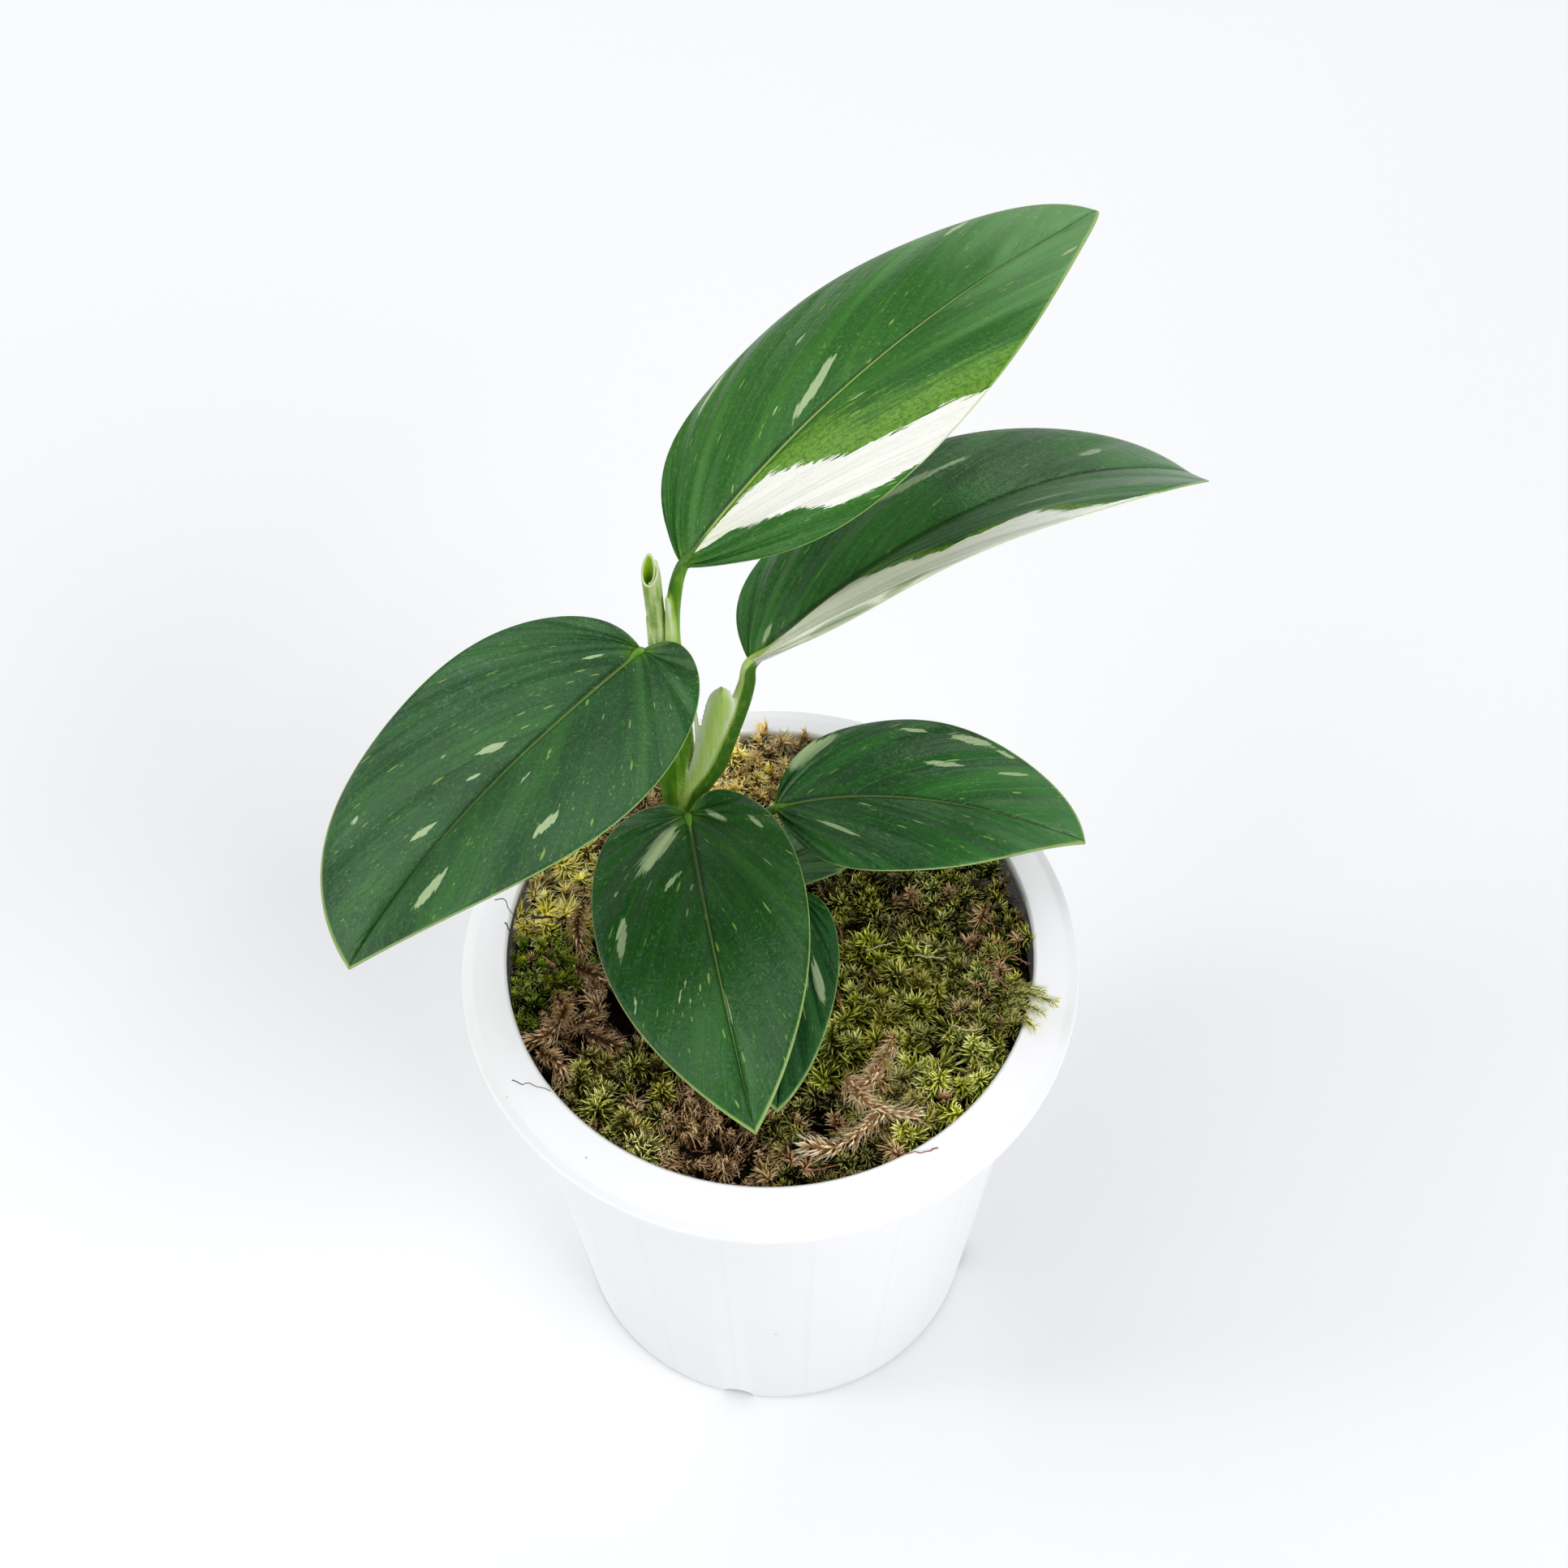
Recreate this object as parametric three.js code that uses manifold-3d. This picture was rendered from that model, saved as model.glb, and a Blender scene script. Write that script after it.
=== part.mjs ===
// A potted monstera standleyana: a white nursery pot filled with growing medium under a
// quilt of moss clumps, and one young plant with seven leaves and a new leaf still rolled.
// Millimetres, +Z up. The origin is the centre of the pot's foot, on the surface it stands on.
// +X is to the right and -Y is towards the viewer.

import * as THREE from 'three';
import { mergeVertices } from 'three/addons/utils/BufferGeometryUtils.js';
import Module from 'manifold-3d';

const wasm = await Module();
wasm.setup();

// Driving dimensions

const GAP = 0.3; // clear space kept between neighbouring pieces
const CUT = 1; // how far a cutting shape runs past what it cuts
const GENTLE_CURVE = 0.5; // tension of the curves that the stem and petioles follow

const POT = {
  rimRadius: 65, // outer edge of the lip
  lipUnderside: 120.9,
  lipThickness: 1.6,
  collarFoot: 62.7, // radius where the sloping collar meets the flat lip
  mouthRadius: 55.1,
  mouthHeight: 128,
  shoulderRadius: 57.8, // body right under the lip
  footRadius: 45.3,
  wall: 1.3,
  collarWall: 1.5,
  shoulderDrop: 1, // the body's widest point is this far below the lip
  throatDrop: 2, // and the wall's inside starts to narrow to the mouth this far below it
  mouthBevel: 0.7,
  lipBevel: 0.4,
  floorHeight: 4.5, // underside of the floor above the foot ring
  floorThickness: 1.6,
  padRadius: 16, // the middle of the floor dips down to the surface the pot stands on
  padSlope: 1.5,
  footRing: 2.2,
  segments: 56,
  drainHoles: 8,
  drainCircle: 31,
  drainRadius: 4,
  drainSides: 12,
  footNotches: 4,
  firstNotchAngle: -101.5, // degrees; one notch faces the viewer, a little to the left
  notchWidth: 7,
  notchHeight: 3,
};

const MEDIUM_TOP = 114;
const MEDIUM_CLEARANCE = 0.5; // between the medium and the pot's sloping walls
const STEM_FOOT = new THREE.Vector3(-15.5, 27, 96);
const STEM_HOLE = { radius: 3.7, sides: 12 };

const MOSS = {
  pitch: 5.6, // distance between tufts
  underside: MEDIUM_TOP + GAP,
  reach: 54.2, // how far out the clumps go, just inside the pot wall
  overhang: 2, // tufts centred up to this far beyond the reach are kept, and cut off at it
  inset: 0.35, // each clump's border stands back by this much
  borderDrop: 1.4, // and is this much lower
  valleyRange: 1.2, // how unevenly deep the dips between tufts are
  tipRange: 2, // how unevenly high the tips are
  stemClearing: 8.8, // bare circle round the stem
  lean: 0.9, // how far a tuft's tip may stray from its middle
  seed: 41,
};

// One row per clump: its middle, the height of its tips, how deep its tufts are, and colour.
const MOSS_CLUMPS = [
  { name: 'moss_cushion_left', x: -50, y: -1, top: 127.5, relief: 2.6, colour: 0x6f8a26 },
  { name: 'moss_left_back', x: -45, y: 17, top: 125.5, relief: 4.2, colour: 0x9c9a4e },
  { name: 'moss_back_left', x: -29, y: 40, top: 125, relief: 4, colour: 0x8a6a3a },
  { name: 'moss_back', x: -1, y: 48, top: 130, relief: 4.6, colour: 0xa07c3c },
  { name: 'moss_brown_left', x: -36, y: -13, top: 122.5, relief: 4.4, colour: 0x6b4a30 },
  { name: 'moss_front_left', x: -33, y: -34, top: 124.5, relief: 4.4, colour: 0x7d7a2a },
  { name: 'moss_brown_front', x: -12, y: -43, top: 124.5, relief: 3.6, colour: 0x73502f },
  { name: 'moss_front', x: 9, y: -47, top: 123, relief: 3.8, colour: 0x63602a },
  { name: 'moss_front_right', x: 35, y: -37, top: 126, relief: 4.6, colour: 0x8c9446 },
  { name: 'moss_right_stars', x: 25, y: -11, top: 126.5, relief: 4.8, colour: 0x7c8838 },
  { name: 'moss_right_edge', x: 50, y: -7, top: 128, relief: 4.2, colour: 0x77703a },
  { name: 'moss_right_back', x: 36, y: 17, top: 126, relief: 4.4, colour: 0x4f5e24 },
  { name: 'moss_back_right', x: 33, y: 42, top: 125.5, relief: 4, colour: 0x6c6a34 },
  { name: 'moss_centre', x: -8, y: -3, top: 121.5, relief: 3.2, colour: 0x4a3a24 },
];

// Dried moss fronds lying on the moss at the front right: the route of each one's stalk.
const DRY_FRONDS = {
  routes: [
    [[15, -31, 128.6], [18, -36, 129], [24, -39.5, 128.6], [29, -40, 128]],
    [[25, -23.5, 128.8], [22, -29, 129], [17.6, -35.4, 129]],
    [[22.5, -38.8, 128.8], [18, -43, 127.6], [13, -46, 126.6], [7, -45.5, 126]],
  ],
  radius: 1.7,
  tipRadius: 0.7,
  sides: 6,
  steps: 7,
};

const STEM = {
  route: [[-15.5, 27, 96], [-15.6, 27, 110], [-16, 27.3, 122], [-17.4, 28.4, 134], [-18, 29, 139]],
  radii: [2.9, 3, 3.1, 2.9, 2.2],
  sides: 10,
  steps: 10,
};

// Each petiole: the route of its middle, and its half width and half depth along the way.
const PETIOLES = [
  {
    of: 'top',
    route: [[-17, 28, 128], [-18.2, 28.9, 137], [-17.8, 30.1, 147.5], [-17.5, 31.1, 155],
      [-17.7, 33.1, 169.7], [-18.5, 35.3, 189], [-17.8, 36, 201.3], [-16.2, 36.1, 210.4]],
    halfWidth: [3, 3, 2.9, 2.6, 2.1, 1.7, 1.4, 1.2],
    halfDepth: [2.4, 2.1, 1.9, 1.7, 1.6, 1.4, 1.3, 1.2],
  },
  {
    of: 'right',
    route: [[-16.6, 27.9, 126], [-17, 28.3, 137], [-14.8, 28.6, 146.6], [-11.3, 28.9, 154],
      [-8.2, 29.2, 164.7], [-5.2, 29.5, 175.5], [-3.8, 29.8, 181.9], [-3.1, 30, 186.3]],
    halfWidth: [2.8, 2.8, 2.9, 2.9, 2.5, 1.9, 1.5, 1.3],
    halfDepth: [2, 1.9, 1.8, 1.7, 1.6, 1.5, 1.3, 1.2],
  },
  {
    of: 'left',
    route: [[-16.2, 27.8, 124], [-19, 29.2, 138], [-20.2, 30, 149], [-21.9, 30.6, 164],
      [-23.6, 30.9, 180], [-24.5, 31, 189.8]],
    halfWidth: [2.4, 2.5, 2.2, 1.7, 1.4, 1.2],
    halfDepth: [2, 1.8, 1.6, 1.4, 1.3, 1.2],
  },
  {
    of: 'front',
    route: [[-15.8, 26.8, 120], [-15.6, 22.6, 128], [-16.1, 20.2, 138], [-16.6, 20.4, 145.8]],
    halfWidth: [2.2, 1.8, 1.5, 1.2],
    halfDepth: [1.8, 1.6, 1.3, 1.2],
  },
  {
    of: 'low_right',
    route: [[-15.2, 27, 119], [-9.5, 26.8, 128], [-3.5, 25.7, 137], [0.9, 24.7, 142.6]],
    halfWidth: [2.1, 1.7, 1.4, 1.1],
    halfDepth: [1.8, 1.5, 1.3, 1.1],
  },
  {
    of: 'low_front',
    route: [[-15.4, 26.4, 118], [-9.5, 19.4, 126], [-2, 12.5, 133], [3.9, 8, 136.7]],
    halfWidth: [1.9, 1.5, 1.2, 1],
    halfDepth: [1.7, 1.4, 1.2, 1],
  },
  {
    of: 'small_low',
    route: [[-15.2, 26, 117], [-11, 21.8, 123.4], [-7, 18.6, 127.6], [-3.4, 17, 129]],
    halfWidth: [1.8, 1.4, 1.1, 0.9],
    halfDepth: [1.6, 1.3, 1.1, 0.9],
  },
  {
    of: 'new',
    route: [[-18.4, 30, 146], [-19.4, 32.4, 162], [-21.2, 34.8, 178], [-21.9, 35.6, 187.6]],
    halfWidth: [1.4, 1.5, 1.5, 1.3],
    halfDepth: [1.3, 1.4, 1.4, 1.3],
  },
];
const PETIOLE_SIDES = 9;
const PETIOLE_STEP = 6; // length of one loft step along a petiole
const PETIOLE_LEAST_STEPS = 4;

// The free tongue of the sheath on the right petiole: its middle line and half width.
const SHEATH = {
  route: [[-17.6, 27.8, 146], [-14, 28, 157], [-11.4, 28.2, 168], [-9.3, 28.2, 177], [-8.3, 28.2, 182]],
  halfWidth: [0.9, 1.6, 2.3, 2.6, 1.2],
  cup: 0.7, // how far its edges bend back round the petiole
  thickness: 0.8,
  steps: 9,
};

// The rolled new leaf: an open scroll with a slanting mouth.
const SCROLL = {
  foot: [-22, 35.7, 188.4],
  head: [-22.5, 37.1, 213.4],
  footRadius: 1.25,
  headRadius: 1.75,
  turns: 1.12,
  spread: 0.95, // how much wider the outer lap is than the inner one
  thickness: 0.6,
  mouthDrop: 5.5, // the lap on the viewer's side is this much lower
  mouthSide: 250, // degrees: where the mouth opens, seen from above
  around: 20,
  steps: 8,
};

// A blade is drawn flat first, as two half outlines, then bent. base is where it joins its
// petiole; heading is measured from +X; pitch is the slope at the base and droop how much of
// it is lost by the tip; sickle bends it sideways; roll and twist turn it about its midrib;
// fold lifts each half and curl lowers it again towards the margin. Pairs are left, right.
// An outline is lobe (how far forward it leaves the base), shoulder and fullness.
const LEAVES = [
  {
    name: 'leaf_top_blade', base: [-15.6, 36, 212], length: 111.9, halfWidth: [32.8, 26.2],
    heading: 43.4, pitch: 38.3, droop: 40.4, droopPower: 0.66, sickle: -8.8, roll: 12.7, twist: 7.4,
    fold: [7.8, 11], curl: 28.6, outline: [[0.17, 0.93, 1.28], [0.25, 0.9, 1.6]], colour: 0x3f7a38,
  },
  {
    name: 'leaf_right_blade', base: [-2.9, 30, 188], length: 117.3, halfWidth: [26, 19.5],
    heading: 33.6, pitch: 25.7, droop: 71.2, droopPower: 1.28, sickle: -8, roll: 22.2, twist: -2.5,
    fold: [16.3, 16.9], curl: 21, outline: [[0.05, 0.82, 1.32], [0.18, 0.86, 0.87]], colour: 0x3b6640,
  },
  {
    name: 'leaf_left_blade', base: [-24.5, 31, 191.2], length: 86, halfWidth: [28, 28.8],
    heading: -140, pitch: -8.7, droop: 26.5, droopPower: 2.5, sickle: 11.6, roll: -4.5, twist: -16.2,
    fold: [20.5, 18.8], curl: 25.9, outline: [[-0.27, 0.34, 0.29], [-0.06, 0.82, 0.82]], colour: 0x2f5c35,
  },
  {
    name: 'leaf_front_blade', base: [-16.6, 20.8, 147.5], length: 74, halfWidth: [20.2, 22.2],
    heading: -82.3, pitch: 6.2, droop: 27.7, droopPower: 1.5, sickle: 6.1, roll: -11.2, twist: -3.7,
    fold: [11, 8.2], curl: 14.3, outline: [[-0.23, 0.46, 0.54], [-0.26, 0.37, 0.47]], colour: 0x2d5a36,
  },
  {
    name: 'leaf_low_right_blade', base: [1.5, 24.5, 144], length: 67.9, halfWidth: [21.1, 19.2],
    heading: 2.9, pitch: 27, droop: 54, droopPower: 0.6, sickle: -14.4, roll: 8, twist: -3.6,
    fold: [9, 11], curl: 15, outline: [[0.12, 0.91, 1.32], [0.2, 0.84, 1.75]], colour: 0x2c5b36,
  },
  {
    name: 'leaf_low_front_blade', base: [4.6, 7.4, 138], length: 48.6, halfWidth: [10.9, 13],
    heading: -94.7, pitch: -3.3, droop: 12, droopPower: 1.4, sickle: 1.3, roll: -0.6, twist: 0,
    fold: [8, 8], curl: 13.8, outline: [[-0.03, 0.78, 1.18], [-0.03, 0.78, 1.18]], colour: 0x2a5433,
  },
  {
    name: 'leaf_small_low_blade', base: [-2.8, 17, 130], length: 33, halfWidth: [8, 8.5],
    heading: 24, pitch: 12, droop: 20, droopPower: 1.2, sickle: -4, roll: 4, twist: 0,
    fold: [9, 9], curl: 14, outline: [[-0.03, 0.8, 1.15], [-0.03, 0.8, 1.15]], colour: 0x4b7550,
  },
];

const BLADE = {
  thickness: 0.8,
  keel: 0.7, // the midrib stands out this much more under the base
  rows: 18,
  columns: 5, // on each side of the midrib
  firstRow: 0.12,
  veinFoot: 2.2, // how the lateral lines gather towards the base of the midrib
  veinSweep: 1.3, // how they curve forward towards the margin
  pleats: 3.4,
  pleatDepth: 0.35,
  waves: 2.3, // along the margin, which lies out of step on the two sides
  waveDepth: 0.9,
  waveStagger: 2,
  normalStep: 0.05,
};
const SPINE_STEPS = 48;
const CUBIC_HEIGHT = 0.75; // how high a cubic curve rises towards two handles of height one

// Small maths

const rad = THREE.MathUtils.degToRad;
const vec = ([x, y, z]) => new THREE.Vector3(x, y, z);

// A repeatable draw between 0 and 1 for a place on the moss.
function draw(a, b, c = 0) {
  const s = Math.sin(a * 12.9898 + b * 78.233 + c * 37.719 + MOSS.seed) * 43758.5453;
  return s - Math.floor(s);
}

function pick(list, t) {
  const place = t * (list.length - 1);
  const i = Math.min(Math.floor(place), list.length - 2);
  return list[i] + (list[i + 1] - list[i]) * (place - i);
}

// Geometry helpers

function signedVolume(points, faces) {
  let volume = 0;
  for (const [a, b, c] of faces) {
    volume += points[a].dot(points[b].clone().cross(points[c])) / 6;
  }
  return volume;
}

// A closed body from its points and triangles, turned so that its faces point out.
function body(points, faces) {
  const turned = signedVolume(points, faces) < 0 ? faces.map(([a, b, c]) => [a, c, b]) : faces;
  const geometry = new THREE.BufferGeometry();
  geometry.setAttribute('position', new THREE.Float32BufferAttribute(points.flatMap((p) => p.toArray()), 3));
  geometry.setIndex(turned.flat());
  return geometry;
}

function toSolid(geometry) {
  const bare = geometry.clone();
  bare.deleteAttribute('normal');
  bare.deleteAttribute('uv');
  const merged = mergeVertices(bare, 1e-4);
  return new wasm.Manifold(new wasm.Mesh({
    numProp: 3,
    vertProperties: new Float32Array(merged.attributes.position.array),
    triVerts: new Uint32Array(merged.index.array),
  }));
}

function fromSolid(solid) {
  const mesh = solid.getMesh();
  const geometry = new THREE.BufferGeometry();
  geometry.setAttribute('position', new THREE.BufferAttribute(new Float32Array(mesh.vertProperties), 3));
  geometry.setIndex(new THREE.BufferAttribute(new Uint32Array(mesh.triVerts), 1));
  return geometry;
}

// A profile of [radius, height] turned about the Z axis.
function turned(profile, segments) {
  const geometry = new THREE.LatheGeometry(profile.map(([r, z]) => new THREE.Vector2(r, z)), segments);
  geometry.rotateX(Math.PI / 2);
  const bare = geometry.clone();
  bare.deleteAttribute('normal');
  bare.deleteAttribute('uv');
  const merged = mergeVertices(bare, 1e-4);
  const at = merged.attributes.position;
  const points = [];
  for (let i = 0; i < at.count; i += 1) points.push(new THREE.Vector3().fromBufferAttribute(at, i));
  const faces = [];
  for (let i = 0; i < merged.index.count; i += 3) {
    const face = [merged.index.getX(i), merged.index.getX(i + 1), merged.index.getX(i + 2)];
    if (new Set(face).size === 3) faces.push(face);
  }
  return body(points, faces);
}

function rod(radius, from, to, x, y, sides) {
  const geometry = new THREE.CylinderGeometry(radius, radius, to - from, sides);
  geometry.rotateX(Math.PI / 2);
  geometry.translate(x, y, (from + to) / 2);
  return geometry;
}

// A tube lofted along a curve, with an oval section whose wide side lies along wide.
function loft(route, halfWidths, halfDepths, sides, steps, wide = new THREE.Vector3(1, 0, 0)) {
  const curve = new THREE.CatmullRomCurve3(route.map(vec), false, 'catmullrom', GENTLE_CURVE);
  const points = [];
  const faces = [];
  for (let i = 0; i <= steps; i += 1) {
    const t = i / steps;
    const middle = curve.getPoint(t);
    const along = curve.getTangent(t);
    const across = wide.clone().addScaledVector(along, -wide.dot(along)).normalize();
    const through = along.clone().cross(across);
    for (let k = 0; k < sides; k += 1) {
      const angle = (2 * Math.PI * k) / sides;
      points.push(middle.clone()
        .addScaledVector(across, Math.cos(angle) * pick(halfWidths, t))
        .addScaledVector(through, Math.sin(angle) * pick(halfDepths, t)));
    }
  }
  for (let i = 0; i < steps; i += 1) {
    for (let k = 0; k < sides; k += 1) {
      const next = (k + 1) % sides;
      const [a, b, c, d] = [i * sides + k, i * sides + next, (i + 1) * sides + next, (i + 1) * sides + k];
      faces.push([a, b, c], [a, c, d]);
    }
  }
  const top = steps * sides;
  for (let k = 1; k < sides - 1; k += 1) {
    faces.push([0, k + 1, k], [top, top + k, top + k + 1]);
  }
  return body(points, faces);
}

// A thin sheet as a closed body. Each row holds pairs of an upper and a lower point; a first
// or last row may be one pair, where the sheet comes to a point. Both faces are split alike.
function sheet(rows) {
  const upper = [];
  const lower = [];
  const points = [];
  for (const row of rows) {
    upper.push(row.map(([high]) => points.push(high) - 1));
    lower.push(row.map(([, low]) => points.push(low) - 1));
  }
  const faces = [];
  for (const [side, flip] of [[upper, false], [lower, true]]) {
    const add = (a, b, c) => faces.push(flip ? [a, c, b] : [a, b, c]);
    for (let i = 0; i < side.length - 1; i += 1) {
      const [near, far] = [side[i], side[i + 1]];
      const span = Math.max(near.length, far.length) - 1;
      for (let j = 0; j < span; j += 1) {
        if (near.length === 1) add(near[0], far[j], far[j + 1]);
        else if (far.length === 1) add(near[j], far[0], near[j + 1]);
        else {
          add(near[j], far[j], far[j + 1]);
          add(near[j], far[j + 1], near[j + 1]);
        }
      }
    }
  }
  const border = (side) => {
    const last = side.length - 1;
    const middle = side.slice(1, last);
    return [...side[0], ...middle.map((row) => row[row.length - 1]),
      ...side[last].slice().reverse(), ...middle.map((row) => row[0]).reverse()];
  };
  const [rim, hem] = [border(upper), border(lower)];
  for (let i = 0; i < rim.length; i += 1) {
    const next = (i + 1) % rim.length;
    faces.push([rim[i], rim[next], hem[next]], [rim[i], hem[next], hem[i]]);
  }
  return body(points, faces);
}

function material(colour, roughness, metalness = 0) {
  return new THREE.MeshStandardMaterial({ color: colour, roughness, metalness, side: THREE.DoubleSide });
}

// The pot

function potGeometry() {
  const p = POT;
  const bodyRadius = (z) => p.footRadius + ((p.shoulderRadius - p.footRadius) * z) / p.lipUnderside;
  const floorTop = p.floorHeight + p.floorThickness;
  const skirt = p.lipUnderside + p.lipThickness;
  const slope = (p.mouthHeight - skirt) / (p.collarFoot - p.mouthRadius);
  const collarUnder = (r) => p.mouthHeight - slope * (r - p.mouthRadius) - p.collarWall;
  const profile = [
    [0, p.floorThickness],
    [p.padRadius - p.floorThickness, p.floorThickness],
    [p.padRadius - p.floorThickness + p.padSlope, floorTop],
    [bodyRadius(floorTop) - p.wall, floorTop],
    [bodyRadius(p.lipUnderside) - p.wall, p.lipUnderside - p.throatDrop],
    [p.mouthRadius, p.mouthHeight - p.mouthBevel],
    [p.mouthRadius + p.mouthBevel, p.mouthHeight],
    [p.collarFoot, skirt],
    [p.rimRadius - p.lipBevel, skirt],
    [p.rimRadius, skirt - p.lipBevel],
    [p.rimRadius, p.lipUnderside],
    [p.collarFoot - p.collarWall, p.lipUnderside],
    [p.shoulderRadius + p.wall, collarUnder(p.shoulderRadius + p.wall)],
    [p.shoulderRadius, p.lipUnderside - p.shoulderDrop],
    [p.footRadius, 0],
    [p.footRadius - p.footRing, 0],
    [p.footRadius - p.footRing, p.floorHeight],
    [p.padRadius + p.padSlope, p.floorHeight],
    [p.padRadius, 0],
    [0, 0],
  ];
  let pot = toSolid(turned(profile, p.segments));
  const hole = (x, y) => toSolid(rod(p.drainRadius, p.floorHeight - CUT, floorTop + CUT, x, y, p.drainSides));
  for (let i = 0; i < p.drainHoles; i += 1) {
    const angle = (2 * Math.PI * i) / p.drainHoles;
    pot = pot.subtract(hole(p.drainCircle * Math.cos(angle), p.drainCircle * Math.sin(angle)));
  }
  for (let i = 0; i < p.footNotches; i += 1) {
    const notch = new THREE.BoxGeometry(p.footRing * 3, p.notchWidth, p.notchHeight * 2);
    notch.translate(p.footRadius - p.footRing / 2, 0, 0);
    notch.rotateZ(rad(p.firstNotchAngle + (360 * i) / p.footNotches));
    pot = pot.subtract(toSolid(notch));
  }
  return fromSolid(pot);
}

// The growing medium, with a plain hole for the stem

function mediumGeometry() {
  const p = POT;
  const floorTop = p.floorHeight + p.floorThickness + GAP;
  const taper = (p.shoulderRadius - p.footRadius) / p.lipUnderside;
  const inside = (z) => p.footRadius + taper * z - p.wall - MEDIUM_CLEARANCE;
  const crown = MEDIUM_TOP;
  const padTop = p.floorThickness + GAP;
  const padEdge = p.padRadius - p.floorThickness - MEDIUM_CLEARANCE;
  const profile = [[0, padTop], [padEdge, padTop], [padEdge + p.padSlope, floorTop],
    [inside(floorTop), floorTop], [inside(crown), crown], [0, crown]];
  const { radius, sides } = STEM_HOLE;
  const hole = rod(radius, STEM_FOOT.z - GAP, crown + CUT, STEM_FOOT.x, STEM_FOOT.y, sides);
  return fromSolid(toSolid(turned(profile, p.segments)).subtract(toSolid(hole)));
}

// The moss: six-sided tufts on one lattice, each tuft given to the nearest clump

function mossCells() {
  const m = MOSS;
  const rowStep = (m.pitch * Math.sqrt(3)) / 2;
  const count = Math.ceil(m.reach / rowStep);
  const cells = [];
  for (let row = -count; row <= count; row += 1) {
    for (let column = -count; column <= count; column += 1) {
      const x = (column + (row % 2 === 0 ? 0 : 0.5)) * m.pitch;
      const y = row * rowStep;
      const inPot = Math.hypot(x, y) < m.reach + m.overhang;
      const offStem = Math.hypot(x - STEM_FOOT.x, y - STEM_FOOT.y) > m.stemClearing;
      if (inPot && offStem) cells.push({ x, y });
    }
  }
  return cells;
}

function nearestClump({ x, y }) {
  const distance = (clump) => Math.hypot(clump.x - x, clump.y - y);
  return MOSS_CLUMPS.reduce((best, clump) => (distance(clump) < distance(best) ? clump : best));
}

function mossGeometry(clump, cells) {
  const m = MOSS;
  const cornerRadius = m.pitch / Math.sqrt(3);
  const corners = new Map();
  const cornerOf = (cell, k) => {
    const angle = rad(30 + 60 * k);
    const x = cell.x + cornerRadius * Math.cos(angle);
    const y = cell.y + cornerRadius * Math.sin(angle);
    const key = `${Math.round(x * 10)},${Math.round(y * 10)}`;
    if (!corners.has(key)) corners.set(key, { x, y, cells: [] });
    return corners.get(key);
  };
  for (const cell of cells) {
    cell.corners = [0, 1, 2, 3, 4, 5].map((k) => cornerOf(cell, k));
    cell.corners.forEach((corner) => corner.cells.push(cell));
  }
  const points = [];
  const place = (x, y, z) => points.push(new THREE.Vector3(x, y, z)) - 1;
  for (const corner of corners.values()) {
    const middle = { x: 0, y: 0 };
    corner.cells.forEach((cell) => {
      middle.x += cell.x / corner.cells.length;
      middle.y += cell.y / corner.cells.length;
    });
    const open = corner.cells.length < 3;
    const away = Math.hypot(middle.x - corner.x, middle.y - corner.y);
    const inset = open ? m.inset / away : 0;
    const x = corner.x + (middle.x - corner.x) * inset;
    const y = corner.y + (middle.y - corner.y) * inset;
    const valley = clump.top - clump.relief - draw(x, y) * m.valleyRange - (open ? m.borderDrop : 0);
    corner.high = place(x, y, valley);
    corner.low = place(x, y, m.underside);
  }
  const faces = [];
  const edges = new Map();
  for (const cell of cells) {
    const stray = draw(cell.x, cell.y, 1) * m.lean;
    const turn = draw(cell.x, cell.y, 2) * 2 * Math.PI;
    const tip = place(cell.x + stray * Math.cos(turn), cell.y + stray * Math.sin(turn),
      clump.top - draw(cell.x, cell.y, 3) * m.tipRange);
    const root = place(cell.x, cell.y, m.underside);
    cell.corners.forEach((from, k) => {
      const to = cell.corners[(k + 1) % 6];
      faces.push([tip, from.high, to.high], [root, to.low, from.low]);
      const back = `${to.high},${from.high}`;
      if (edges.has(back)) edges.delete(back);
      else edges.set(`${from.high},${to.high}`, [from, to]);
    });
  }
  for (const [from, to] of edges.values()) {
    faces.push([to.high, from.high, from.low], [to.high, from.low, to.low]);
  }
  const inside = rod(m.reach, m.underside - CUT, clump.top + CUT, 0, 0, POT.segments);
  return fromSolid(toSolid(body(points, faces)).intersect(toSolid(inside)));
}

function dryFrondsGeometry() {
  const f = DRY_FRONDS;
  const radii = [f.tipRadius, f.radius, f.radius, f.radius, f.tipRadius];
  const fronds = f.routes.map((route) => toSolid(loft(route, radii, radii, f.sides, f.steps,
    new THREE.Vector3(0, 0, 1))));
  return fromSolid(fronds.reduce((all, frond) => all.add(frond)));
}

// The stem with its petioles, grown as one piece

function sheathGeometry() {
  const s = SHEATH;
  const curve = new THREE.CatmullRomCurve3(s.route.map(vec), false, 'catmullrom', GENTLE_CURVE);
  const rows = [];
  for (let i = 0; i <= s.steps; i += 1) {
    const t = i / s.steps;
    const middle = curve.getPoint(t);
    const along = curve.getTangent(t);
    const back = new THREE.Vector3(0, 1, 0).addScaledVector(along, -along.y).normalize();
    const across = along.clone().cross(back);
    rows.push([-1, 0, 1].map((side) => {
      const point = middle.clone()
        .addScaledVector(across, side * pick(s.halfWidth, t))
        .addScaledVector(back, Math.abs(side) * s.cup);
      return [point.clone().addScaledVector(back, -s.thickness / 2),
        point.clone().addScaledVector(back, s.thickness / 2)];
    }));
  }
  return sheet(rows);
}

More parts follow.
